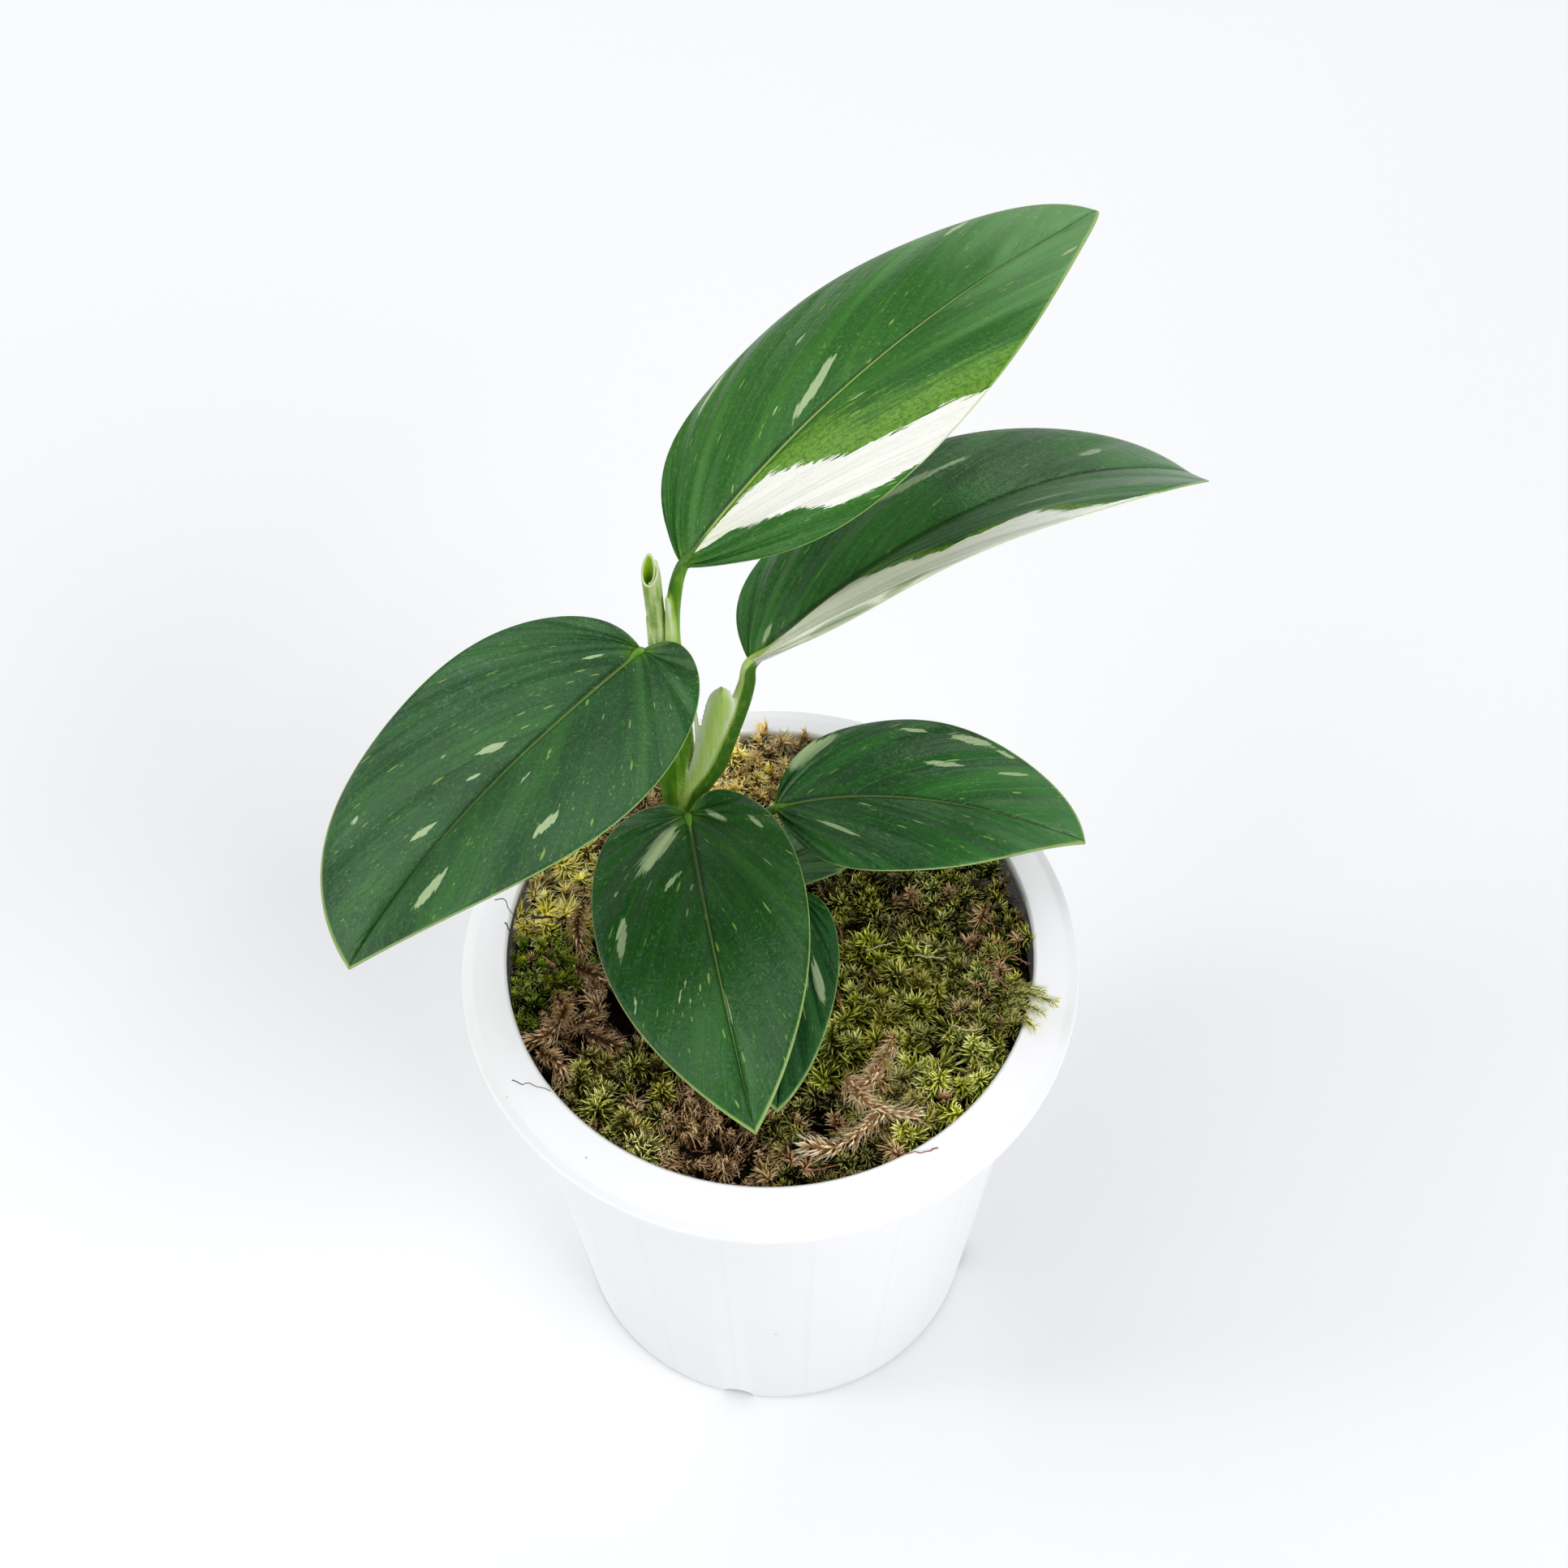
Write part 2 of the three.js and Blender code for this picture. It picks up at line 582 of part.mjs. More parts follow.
function stemGeometry() {
  let plant = toSolid(loft(STEM.route, STEM.radii, STEM.radii, STEM.sides, STEM.steps));
  for (const petiole of PETIOLES) {
    const length = new THREE.CatmullRomCurve3(petiole.route.map(vec)).getLength();
    const steps = Math.max(PETIOLE_LEAST_STEPS, Math.round(length / PETIOLE_STEP));
    const tube = loft(petiole.route, petiole.halfWidth, petiole.halfDepth, PETIOLE_SIDES, steps);
    plant = plant.add(toSolid(tube));
  }
  return fromSolid(plant.add(toSolid(sheathGeometry())));
}

// The blades

// Points and directions along a blade's bent midrib, one for each spine step.
function spineOf(leaf) {
  const spine = [];
  const middle = vec(leaf.base);
  const step = leaf.length / SPINE_STEPS;
  let before = null;
  for (let i = 0; i <= SPINE_STEPS; i += 1) {
    const s = i / SPINE_STEPS;
    const pitch = rad(leaf.pitch - leaf.droop * s ** leaf.droopPower);
    const heading = rad(leaf.heading + leaf.sickle * s);
    const along = new THREE.Vector3(Math.cos(pitch) * Math.cos(heading),
      Math.cos(pitch) * Math.sin(heading), Math.sin(pitch));
    if (before) middle.addScaledVector(before.clone().add(along), step / 2);
    const level = new THREE.Vector3(-along.y, along.x, 0).normalize();
    const up = along.clone().cross(level);
    const roll = rad(leaf.roll + leaf.twist * s);
    spine.push({
      middle: middle.clone(),
      along,
      left: level.clone().multiplyScalar(Math.cos(roll)).addScaledVector(up, -Math.sin(roll)),
      up: up.clone().multiplyScalar(Math.cos(roll)).addScaledVector(level, Math.sin(roll)),
    });
    before = along;
  }
  return spine;
}

function spineAt(leaf, spine, x) {
  const place = THREE.MathUtils.clamp(x / leaf.length, 0, 1) * SPINE_STEPS;
  const i = Math.min(Math.floor(place), SPINE_STEPS - 1);
  const mix = (key) => spine[i][key].clone().lerp(spine[i + 1][key], place - i);
  const beyond = Math.min(x, 0);
  const along = mix('along');
  return { middle: mix('middle').addScaledVector(along, beyond), along, left: mix('left'), up: mix('up') };
}

// A point of the flat blade, x along the midrib and y to the left, on the bent blade.
function bend(leaf, spine, x, y) {
  const { middle, left, up } = spineAt(leaf, spine, x);
  const half = (leaf.halfWidth[0] + leaf.halfWidth[1]) / 2;
  const fold = rad(leaf.fold[y > 0 ? 0 : 1]);
  const curl = rad(leaf.curl);
  const outward = Math.abs(y) / half;
  const sideways = ((Math.sin(fold) - Math.sin(fold - curl * outward)) / curl) * half;
  const upward = ((Math.cos(fold - curl * outward) - Math.cos(fold)) / curl) * half;
  return middle.addScaledVector(left, Math.sign(y) * sideways).addScaledVector(up, upward);
}

function surfaceNormal(leaf, spine, x, y) {
  const small = BLADE.normalStep;
  if (y === 0) return spineAt(leaf, spine, x).up.normalize();
  const here = bend(leaf, spine, x, y);
  const ahead = bend(leaf, spine, x + small, y).sub(here);
  const inward = bend(leaf, spine, x, y - Math.sign(y) * small).sub(here).multiplyScalar(-Math.sign(y));
  return ahead.cross(inward).normalize();
}

// Where a half outline is at t, from 0 at the base to 1 at the tip.
function outlineAt(leaf, side, t) {
  const [lobe, shoulder, fullness] = leaf.outline[side];
  const early = 3 * (1 - t) ** 2 * t;
  const late = 3 * (1 - t) * t ** 2;
  const x = (early * lobe + late * shoulder + t ** 3) * leaf.length;
  const y = ((early * fullness + late * (2 - fullness)) * leaf.halfWidth[side]) / CUBIC_HEIGHT;
  return [x, y];
}

function bladeGeometry(leaf) {
  const b = BLADE;
  const spine = spineOf(leaf);
  const pair = (x, y, t, v) => {
    const s = Math.max(x, 0) / leaf.length;
    const normal = surfaceNormal(leaf, spine, x, y);
    const pleat = b.pleatDepth * Math.sin(2 * Math.PI * b.pleats * t) * Math.sin(Math.PI * v);
    const phase = 2 * Math.PI * b.waves * t + (y > 0 ? 0 : b.waveStagger);
    const wave = b.waveDepth * Math.sin(phase) * v ** 4 * (1 - t);
    const middle = bend(leaf, spine, x, y).addScaledVector(normal, pleat + wave);
    const keel = v === 0 ? b.keel * (1 - s) : 0;
    return [middle.clone().addScaledVector(normal, b.thickness / 2),
      middle.clone().addScaledVector(normal, -b.thickness / 2 - keel)];
  };
  const rows = [[pair(0, 0, 0, 0)]];
  for (let i = 0; i < b.rows; i += 1) {
    const t = b.firstRow + ((1 - b.firstRow) * i) / b.rows;
    const foot = leaf.length * t ** b.veinFoot;
    const row = [];
    for (let j = -b.columns; j <= b.columns; j += 1) {
      const v = Math.abs(j) / b.columns;
      const [edgeX, edgeY] = outlineAt(leaf, j < 0 ? 0 : 1, t);
      row.push(pair(foot + (edgeX - foot) * v ** b.veinSweep, -Math.sign(j) * edgeY * v, t, v));
    }
    rows.push(row);
  }
  rows.push([pair(leaf.length, 0, 1, 0)]);
  return sheet(rows);
}

// The new leaf, still rolled

function scrollGeometry() {
  const s = SCROLL;
  const [foot, head] = [vec(s.foot), vec(s.head)];
  const along = head.clone().sub(foot);
  const height = along.length();
  along.normalize();
  const right = new THREE.Vector3(1, 0, 0).addScaledVector(along, -along.x).normalize();
  const back = along.clone().cross(right);
  const rows = [];
  for (let i = 0; i <= s.around; i += 1) {
    const lap = i / s.around;
    const angle = 2 * Math.PI * s.turns * lap + rad(s.mouthSide);
    const out = right.clone().multiplyScalar(Math.cos(angle)).addScaledVector(back, Math.sin(angle));
    const drop = (s.mouthDrop * (1 + Math.cos(angle - rad(s.mouthSide)))) / 2;
    const row = [];
    for (let j = 0; j <= s.steps; j += 1) {
      const t = j / s.steps;
      const radius = THREE.MathUtils.lerp(s.footRadius, s.headRadius, t) + s.spread * (lap - 0.5);
      const middle = foot.clone().addScaledVector(along, t * (height - drop));
      row.push([middle.clone().addScaledVector(out, radius + s.thickness / 2),
        middle.clone().addScaledVector(out, radius - s.thickness / 2)]);
    }
    rows.push(row);
  }
  return sheet(rows);
}

// The assembly

const group = new THREE.Group();

function add(name, geometry, finish, parent = group) {
  const mesh = new THREE.Mesh(geometry, finish);
  mesh.name = name;
  parent.add(mesh);
}

add('nursery_pot', potGeometry(), material(0xf4f5f5, 0.4));
add('growing_medium', mediumGeometry(), material(0x2b1d14, 0.95));

const moss = new THREE.Group();
const cells = mossCells();
for (const clump of MOSS_CLUMPS) {
  const own = cells.filter((cell) => nearestClump(cell) === clump);
  add(clump.name, mossGeometry(clump, own), material(clump.colour, 0.95), moss);
}
add('moss_dry_fronds', dryFrondsGeometry(), material(0xa98a62, 0.95), moss);
group.add(moss);

const plant = new THREE.Group();
add('stem_and_petioles', stemGeometry(), material(0x7f9a45, 0.5), plant);
for (const leaf of LEAVES) {
  add(leaf.name, bladeGeometry(leaf), material(leaf.colour, 0.4), plant);
}
add('new_leaf_roll', scrollGeometry(), material(0x8fae57, 0.5), plant);
group.add(plant);

export default group;
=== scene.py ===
"""A potted monstera standleyana, dressed over its solid model.

Seven streaked leaves, their petioles and one leaf still rolled, a quilt of moss clumps, and the
white pot they stand in. Metres, Z up; the tables below are in millimetres and degrees.
"""

import math

import bpy
import numpy as np
from mathutils import Matrix, Vector, kdtree


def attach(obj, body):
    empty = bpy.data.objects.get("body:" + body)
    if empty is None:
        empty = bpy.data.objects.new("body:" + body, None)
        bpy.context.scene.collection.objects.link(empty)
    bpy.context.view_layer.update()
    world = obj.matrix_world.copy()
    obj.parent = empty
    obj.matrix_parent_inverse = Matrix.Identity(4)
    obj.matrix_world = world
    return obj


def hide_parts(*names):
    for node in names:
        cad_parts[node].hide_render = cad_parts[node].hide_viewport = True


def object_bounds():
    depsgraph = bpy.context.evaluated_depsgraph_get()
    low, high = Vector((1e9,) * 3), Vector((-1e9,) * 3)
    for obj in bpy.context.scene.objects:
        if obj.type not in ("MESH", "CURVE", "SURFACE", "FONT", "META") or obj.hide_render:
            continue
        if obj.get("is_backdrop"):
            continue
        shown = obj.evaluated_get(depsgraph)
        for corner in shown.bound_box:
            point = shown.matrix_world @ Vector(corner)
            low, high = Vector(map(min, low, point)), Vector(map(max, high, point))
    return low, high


bl_info = {
    "name": "Potted Monstera Standleyana",
    "version": (1, 0, 0),
    "blender": (4, 5, 0),
    "location": "3D View > Sidebar > Monstera",
    "description": "Leaves, petioles, moss and pot of a potted monstera standleyana",
    "category": "Add Mesh",
}

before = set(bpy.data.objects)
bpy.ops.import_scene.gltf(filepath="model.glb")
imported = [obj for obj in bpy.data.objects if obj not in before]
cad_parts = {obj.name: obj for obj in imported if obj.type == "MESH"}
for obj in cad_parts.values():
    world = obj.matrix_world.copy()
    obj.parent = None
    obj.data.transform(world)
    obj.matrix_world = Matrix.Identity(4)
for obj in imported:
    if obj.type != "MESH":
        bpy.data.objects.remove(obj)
LOW, HIGH = (Vector(corner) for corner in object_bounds())
MIDDLE = (LOW + HIGH) / 2

MM = 0.001

# Colours


def linear(code):
    """The linear colour of a six-figure sRGB code."""
    parts = [int(code[i : i + 2], 16) / 255 for i in (0, 2, 4)]
    light = (c / 12.92 if c <= 0.04045 else ((c + 0.055) / 1.055) ** 2.4 for c in parts)
    return (*light, 1.0)


def colour_of(value):
    """A socket or a colour as it is, or the linear colour of a code."""
    return linear(value) if isinstance(value, str) else value


# Node trees


class Wiring:
    """Adds nodes to one tree, each with its inputs given as values or as sockets."""

    def __init__(self, tree):
        self.tree = tree

    def add(self, kind, inputs=None, **settings):
        node = self.tree.nodes.new(kind)
        for key, value in settings.items():
            setattr(node, key, value)
        for key, value in (inputs or {}).items():
            socket = node.inputs[key]
            if isinstance(value, bpy.types.NodeSocket):
                self.tree.links.new(value, socket)
            else:
                socket.default_value = value
        return node

    def math(self, operation, a, b=0.0, c=0.0, clamp=False):
        node = self.add("ShaderNodeMath", {0: a, 1: b, 2: c}, operation=operation, use_clamp=clamp)
        return node.outputs[0]

    def times(self, a, b):
        return self.math("MULTIPLY", a, b)

    def scale_add(self, value, factor, plus):
        return self.math("MULTIPLY_ADD", value, factor, plus)

    def without(self, value):
        """What is left of one."""
        return self.math("SUBTRACT", 1, value)

    def centred(self, value):
        """A pattern's value less its middle."""
        return self.math("SUBTRACT", value, 0.5)

    def vector(self, operation, a, b=(0, 0, 0)):
        return self.add("ShaderNodeVectorMath", {0: a, 1: b}, operation=operation).outputs[0]

    def scaled(self, vector, scale):
        return self.add("ShaderNodeVectorMath", {0: vector, 3: scale}, operation="SCALE").outputs[0]

    def mix(self, factor, a, b):
        ends = {0: factor, 6: colour_of(a), 7: colour_of(b)}
        return self.add("ShaderNodeMix", ends, data_type="RGBA", clamp_factor=True).outputs[2]

    def tint(self, colour, share, strength, top):
        """A colour with another laid over it, by a share at a strength."""
        return self.mix(self.times(share, strength), colour, top)

    def step(self, value, low, high):
        """0 under low, 1 over high, and smooth between them."""
        ends = {0: value, 1: low, 2: high}
        return self.add("ShaderNodeMapRange", ends, interpolation_type="SMOOTHSTEP").outputs[0]

    def fade(self, value, low, high):
        """1 under low, 0 over high, and smooth between them."""
        return self.without(self.step(value, low, high))

    def attribute(self, name):
        return self.add("ShaderNodeAttribute", attribute_name=name).outputs["Fac"]

    def noise(self, vector, scale, detail=2.0, roughness=0.5):
        inputs = {"Vector": vector, "Scale": scale, "Detail": detail, "Roughness": roughness}
        return self.add("ShaderNodeTexNoise", inputs).outputs["Fac"]

    def stretched(self, vector, stretch, detail=2.0, roughness=0.5):
        """Noise with a scale of its own along each axis."""
        return self.noise(self.vector("MULTIPLY", vector, stretch), 1.0, detail, roughness)

    def ramp(self, factor, stops):
        """A colour ramp through stops of a position and a colour."""
        node = self.add("ShaderNodeValToRGB", {0: factor})
        elements = node.color_ramp.elements
        while len(elements) < len(stops):
            elements.new(0.5)
        for element, (position, colour) in zip(elements, stops):
            element.position = position
            element.color = colour_of(colour)
        return node.outputs[0]

    def bump(self, height, strength, distance):
        inputs = {"Height": height, "Strength": strength, "Distance": distance}
        return self.add("ShaderNodeBump", inputs).outputs[0]


def new_material(name):
    """An empty material with its Principled shader, ready to be wired."""
    material = bpy.data.materials.new(name)
    material.use_nodes = True
    material.node_tree.nodes.clear()
    wiring = Wiring(material.node_tree)
    shader = wiring.add("ShaderNodeBsdfPrincipled")
    output = wiring.add("ShaderNodeOutputMaterial")
    wiring.tree.links.new(shader.outputs[0], output.inputs[0])
    return material, wiring, shader


def connect(wiring, shader, **links):
    """Links or sets the shader's sockets, named with underscores for spaces."""
    for key, value in links.items():
        socket = shader.inputs[key.replace("_", " ")]
        if isinstance(value, bpy.types.NodeSocket):
            wiring.tree.links.new(value, socket)
        else:
            socket.default_value = value


def object_coordinates(wiring):
    """The piece's own coordinates, which are also the frame's."""
    return wiring.add("ShaderNodeTexCoord").outputs["Object"]


# Meshes


def add_values(mesh, key, values):
    """Keeps one value for each point of a mesh, for a material to read."""
    layer = mesh.attributes.new(key, "FLOAT", "POINT")
    layer.data.foreach_set("value", np.asarray(values, np.float32))


def mesh_piece(name, points, faces, material, attributes=None, uv=None):
    """A smooth mesh object from points in metres, with float attributes for its points."""
    mesh = bpy.data.meshes.new(name)
    mesh.from_pydata([tuple(p) for p in points], [], [tuple(f) for f in faces])
    for key, values in (attributes or {}).items():
        add_values(mesh, key, values)
    if uv is not None:
        corners = np.zeros(len(mesh.loops), np.int32)
        mesh.loops.foreach_get("vertex_index", corners)
        layer = mesh.uv_layers.new(name="surface")
        layer.data.foreach_set("uv", np.asarray(uv, np.float32)[corners].ravel())
    mesh.shade_smooth()
    mesh.materials.append(material)
    piece = bpy.data.objects.new(name, mesh)
    bpy.context.scene.collection.objects.link(piece)
    return piece


def finish_piece(piece, slot, *nodes):
    """Ties a finished piece to the frame."""
    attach(piece, "root")
    if nodes:
        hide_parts(*nodes)
    return piece


def evaluated_mesh(piece):
    """The mesh that a piece's modifiers make of it."""
    bpy.context.view_layer.update()
    graph = bpy.context.evaluated_depsgraph_get()
    return bpy.data.meshes.new_from_object(
        piece.evaluated_get(graph), preserve_all_data_layers=True, depsgraph=graph
    )


def baked(piece):
    """Turns a piece and its modifiers into a plain mesh."""
    mesh = evaluated_mesh(piece)
    piece.modifiers.clear()
    old = piece.data
    piece.data = mesh
    mesh.name = piece.name
    bpy.data.meshes.remove(old)
    return piece


def smooth_route(points, count):
    """Even steps along a Catmull-Rom curve through points."""
    p = np.asarray(points, float)
    p = np.vstack([2 * p[0] - p[1], p, 2 * p[-1] - p[-2]])
    out = []
    for place in np.linspace(0, len(p) - 3 - 1e-9, count):
        i = int(place)
        t = place - i
        a, b, c, d = p[i : i + 4]
        out.append(
            0.5
            * (2 * b + (c - a) * t + (2 * a - 5 * b + 4 * c - d) * t**2 + (3 * b - a - 3 * c + d) * t**3)
        )
    return np.array(out)


def unit(vectors):
    """The same directions at length one."""
    return vectors / np.linalg.norm(vectors, axis=-1)[..., None]


def square_to(along, vector):
    """A vector less its part along each direction, at length one."""
    vector = np.asarray(vector, float)
    return unit(vector - (along @ vector)[:, None] * along)


def tube(route, half_width, half_depth, sides, wide=(1, 0, 0)):
    """Rings of points round a route, and the faces between them, closed at both ends."""
    route = np.asarray(route, float)
    along = unit(np.gradient(route, axis=0))
    across = square_to(along, wide)
    through = np.cross(along, across)
    turn = np.linspace(0, 2 * math.pi, sides, endpoint=False)
    n = len(route)
    w = np.broadcast_to(half_width, n)[:, None, None]
    h = np.broadcast_to(half_depth, n)[:, None, None]
    rings = (
        route[:, None]
        + np.cos(turn)[None, :, None] * across[:, None] * w
        + np.sin(turn)[None, :, None] * through[:, None] * h
    )
    points = np.vstack([rings.reshape(-1, 3), route[:1], route[-1:]])
    faces = []
    for i in range(n - 1):
        for k in range(sides):
            m = (k + 1) % sides
            faces.append((i * sides + k, i * sides + m, (i + 1) * sides + m, (i + 1) * sides + k))
    first, last = n * sides, n * sides + 1
    for k in range(sides):
        m = (k + 1) % sides
        faces.append((first, m, k))
        faces.append((last, (n - 1) * sides + k, (n - 1) * sides + m))
    return points, faces


def shell_faces(rows, columns):
    """Faces of a closed shell between two grids of points, the front one and then the rear one."""
    n = rows * columns
    faces = []
    for i in range(rows - 1):
        for j in range(columns - 1):
            a, b = i * columns + j, i * columns + j + 1
            faces.append((a, b, b + columns, a + columns))
            faces.append((a + n, a + columns + n, b + columns + n, b + n))
    ring = list(range(columns)) + [i * columns + columns - 1 for i in range(1, rows)]
    ring += [(rows - 1) * columns + j for j in range(columns - 2, -1, -1)]
    ring += [i * columns for i in range(rows - 2, 0, -1)]
    for a, b in zip(ring, ring[1:] + ring[:1]):
        faces.append((b, a, a + n, b + n))
    return faces


def joined(parts):
    """Several (points, faces) as one."""
    points, faces, start = [], [], 0
    for p, f in parts:
        points.append(np.asarray(p, float))
        faces += [tuple(i + start for i in face) for face in f]
        start += len(p)
    return np.vstack(points), faces


# Blades

# A blade is drawn flat, as two half outlines, then bent: pitch is its slope at the base and
# droop how much of it is lost by the tip, sickle bends it sideways, roll and twist turn it
# about its midrib, fold lifts each half and curl lowers it again towards the margin. Pairs
# are left, right. An outline is lobe, shoulder and fullness.
# Streaks run from (t, v) to (t, v), where t counts the side veins from base to tip and v goes
# from midrib to margin; then comes their width.
LEFT, RIGHT = 0, 1
# A blade's tip colour is a painted sheen, laid over it towards its tip.
LEAVES = {
    "leaf_top_blade": dict(
        base=(-15.6, 36, 212), length=111.9, half_width=(32.8, 26.2), heading=43.4,
        pitch=38.3, droop=40.4, droop_power=0.66, sickle=-8.8, roll=12.7, twist=7.4,
        fold=(7.8, 11), curl=28.6, outline=((0.17, 0.93, 1.28), (0.25, 0.9, 1.6)),
        rows=170, columns=32,
        green="205e10", light="438426", deep="205c10", rib=(0.85, 0.5), tip="6b9c60",
        streaks=(
            (LEFT, 0.695, 0.08, 0.72, 0.35, 2.4), (LEFT, 0.33, 0.76, 0.355, 0.95, 1.5),
            (LEFT, 0.74, 0.92, 0.76, 1.0, 1.8), (RIGHT, 0.595, 0.05, 0.616, 0.19, 1.5),
            (LEFT, 0.653, 0.25, 0.658, 0.29, 1.1), (LEFT, 0.6, 0.62, 0.61, 0.66, 0.9),
            (RIGHT, 0.7, 0.3, 0.7, 0.36, 0.7), (RIGHT, 0.82, 0.9, 0.83, 0.97, 0.9),
        ),
        cream_from=((0, 0.45), (0.09, 0.457), (0.18, 0.49), (0.3, 0.455), (0.41, 0.424),
                    (0.56, 0.403), (0.63, 0.361), (0.8, 0.328), (0.9, 0.34), (1, 0.37)),
        cream_to=((0, 0.52), (0.06, 0.58), (0.14, 0.624), (0.3, 0.6), (0.41, 0.574),
                  (0.57, 0.532), (0.72, 0.516), (0.86, 0.524), (0.96, 0.507), (1, 0.516)),
        lime_span=0.13,
    ),
    "leaf_right_blade": dict(
        base=(-2.9, 30, 188), length=117.3, half_width=(26, 19.5), heading=33.6,
        pitch=25.7, droop=71.2, droop_power=1.28, sickle=-8, roll=22.2, twist=-2.5,
        fold=(16.3, 16.9), curl=21, outline=((0.05, 0.82, 1.32), (0.18, 0.86, 0.87)),
        rows=170, columns=32,
        green="387133", light="528f42", deep="2a5a28", rib=(0.15, 0.1), tip="548552",
        pale_between=(0.25, 0.5),
        streaks=(
            (LEFT, 0.612, 0.61, 0.66, 0.69, 3.0), (LEFT, 0.655, 0.66, 0.69, 0.75, 1.6),
            (LEFT, 0.854, 0.57, 0.858, 0.71, 1.6), (LEFT, 0.5, 0.06, 0.51, 0.16, 1.2),
            (RIGHT, 0.75, 0.5, 0.76, 0.7, 0.8),
        ),
        # Veils are drawn like streaks: a painted grey-green sheen over the cream
        sheen_veils=((RIGHT, 0.13, 0.99, 0.27, 0.97, 2.2), (RIGHT, 0.27, 0.97, 0.41, 0.85, 2.0)),
        cream_from=((0, -1), (1, -1)),
        cream_to=((0, 0.66), (0.12, 0.69), (0.33, 0.653), (0.48, 0.62), (0.59, 0.6), (0.61, 0.628),
                  (0.68, 0.63), (0.7, 0.662), (0.8, 0.64), (0.87, 0.616), (0.98, 0.612), (1, 0.687)),
        lime_span=0.035,
    ),
    "leaf_left_blade": dict(
        base=(-24.5, 31, 191.2), length=86, half_width=(28, 28.8), heading=-140,
        pitch=-8.7, droop=26.5, droop_power=2.5, sickle=11.6, roll=-4.5, twist=-16.2,
        fold=(20.5, 18.8), curl=25.9, outline=((-0.27, 0.34, 0.29), (-0.06, 0.82, 0.82)),
        rows=160, columns=32,
        green="29562b", light="417835", deep="204823", rib=(0.35, 0.1), water_marks=True,
        streaks=(
            (LEFT, 0.93, 0.78, 0.912, 0.63, 3.0), (LEFT, 0.804, 0.79, 0.775, 0.745, 2.4),
            (RIGHT, 0.912, 0.46, 0.916, 0.25, 1.6), (RIGHT, 0.833, 0.39, 0.837, 0.25, 1.8),
            (RIGHT, 0.8, 0.91, 0.795, 0.87, 1.4), (RIGHT, 0.875, 0.3, 0.875, 0.23, 1.1),
            (RIGHT, 0.649, 0.23, 0.628, 0.15, 0.9), (RIGHT, 0.791, 0.6, 0.795, 0.55, 0.9),
            (LEFT, 0.962, 0.82, 0.958, 0.71, 1.0), (LEFT, 0.86, 0.35, 0.85, 0.29, 0.7),
        ),
    ),
    "leaf_front_blade": dict(
        base=(-16.6, 20.8, 147.5), length=74, half_width=(20.2, 22.2), heading=-82.3,
        pitch=6.2, droop=27.7, droop_power=1.5, sickle=6.1, roll=-11.2, twist=-3.7,
        fold=(11, 8.2), curl=14.3, outline=((-0.23, 0.46, 0.54), (-0.26, 0.37, 0.47)),
        rows=150, columns=30,
        green="235421", light="38752c", deep="1d4a1b", rib=(0.1, 0.5), water_marks=True,
        streaks=(
            (RIGHT, 0.662, 0.5, 0.641, 0.13, 4.0), (RIGHT, 0.787, 0.38, 0.808, 0.2, 1.5),
            (RIGHT, 0.683, 0.74, 0.729, 0.87, 2.2), (LEFT, 0.382, 0.24, 0.52, 0.41, 1.3),
            (LEFT, 0.424, 0.69, 0.482, 0.77, 1.0), (RIGHT, 0.8, 0.6, 0.812, 0.62, 0.9),
            (RIGHT, 0.879, 0.7, 0.891, 0.47, 1.0), (RIGHT, 0.787, 0.9, 0.795, 0.96, 0.8),
            (RIGHT, 0.9, 0.62, 0.905, 0.5, 0.6), (LEFT, 0.94, 0.03, 0.958, 0.14, 0.8),
            (RIGHT, 0.6, 0.78, 0.61, 0.72, 0.9), (LEFT, 0.8, 0.4, 0.81, 0.34, 0.9),
        ),
    ),
    "leaf_low_right_blade": dict(
        base=(1.5, 24.5, 144), length=67.9, half_width=(21.1, 19.2), heading=2.9,
        pitch=27, droop=54, droop_power=0.6, sickle=-14.4, roll=8, twist=-3.6,
        fold=(9, 11), curl=15, outline=((0.12, 0.91, 1.32), (0.2, 0.84, 1.75)),
        rows=140, columns=28,
        green="20551f", light="3b7f33", deep="18451a", rib=(0.3, 0.05), tip="4e8648",
        streaks=(
            (LEFT, 0.16, 0.7, 0.19, 0.99, 5.5), (LEFT, 0.24, 0.5, 0.28, 0.9, 3.0),
            (LEFT, 0.574, 0.9, 0.645, 0.96, 2.4), (LEFT, 0.645, 0.93, 0.7, 0.97, 1.2),
            (LEFT, 0.47, 0.85, 0.536, 0.88, 1.2), (LEFT, 0.67, 0.54, 0.716, 0.66, 1.5),
            (RIGHT, 0.482, 0.32, 0.474, 0.6, 1.5), (LEFT, 0.754, 0.76, 0.762, 0.93, 0.9),
            (RIGHT, 0.666, 0.18, 0.662, 0.36, 1.0),
        ),
    ),
    "leaf_low_front_blade": dict(
        base=(4.6, 7.4, 138), length=48.6, half_width=(10.9, 13), heading=-94.7,
        pitch=-3.3, droop=12, droop_power=1.4, sickle=1.3, roll=-0.6, twist=0,
        fold=(8, 8), curl=13.8, outline=((-0.03, 0.78, 1.18), (-0.03, 0.78, 1.18)),
        rows=100, columns=22,
        green="275c2a", light="3b7a33", deep="1f4c25", rib=(0.3, 0.2),
        streaks=((LEFT, 0.633, 0.6, 0.649, 0.86, 2.2), (LEFT, 0.7, 0.52, 0.72, 0.6, 0.7)),
    ),
    "leaf_small_low_blade": dict(
        base=(-2.8, 17, 130), length=33, half_width=(8, 8.5), heading=24,
        pitch=12, droop=20, droop_power=1.2, sickle=-4, roll=4, twist=0,
        fold=(9, 9), curl=14, outline=((-0.03, 0.8, 1.15), (-0.03, 0.8, 1.15)),
        rows=70, columns=16,
        green="588755", light="6d9d62", deep="457246", rib=(0.3, 0.2),
        streaks=(),
    ),
}

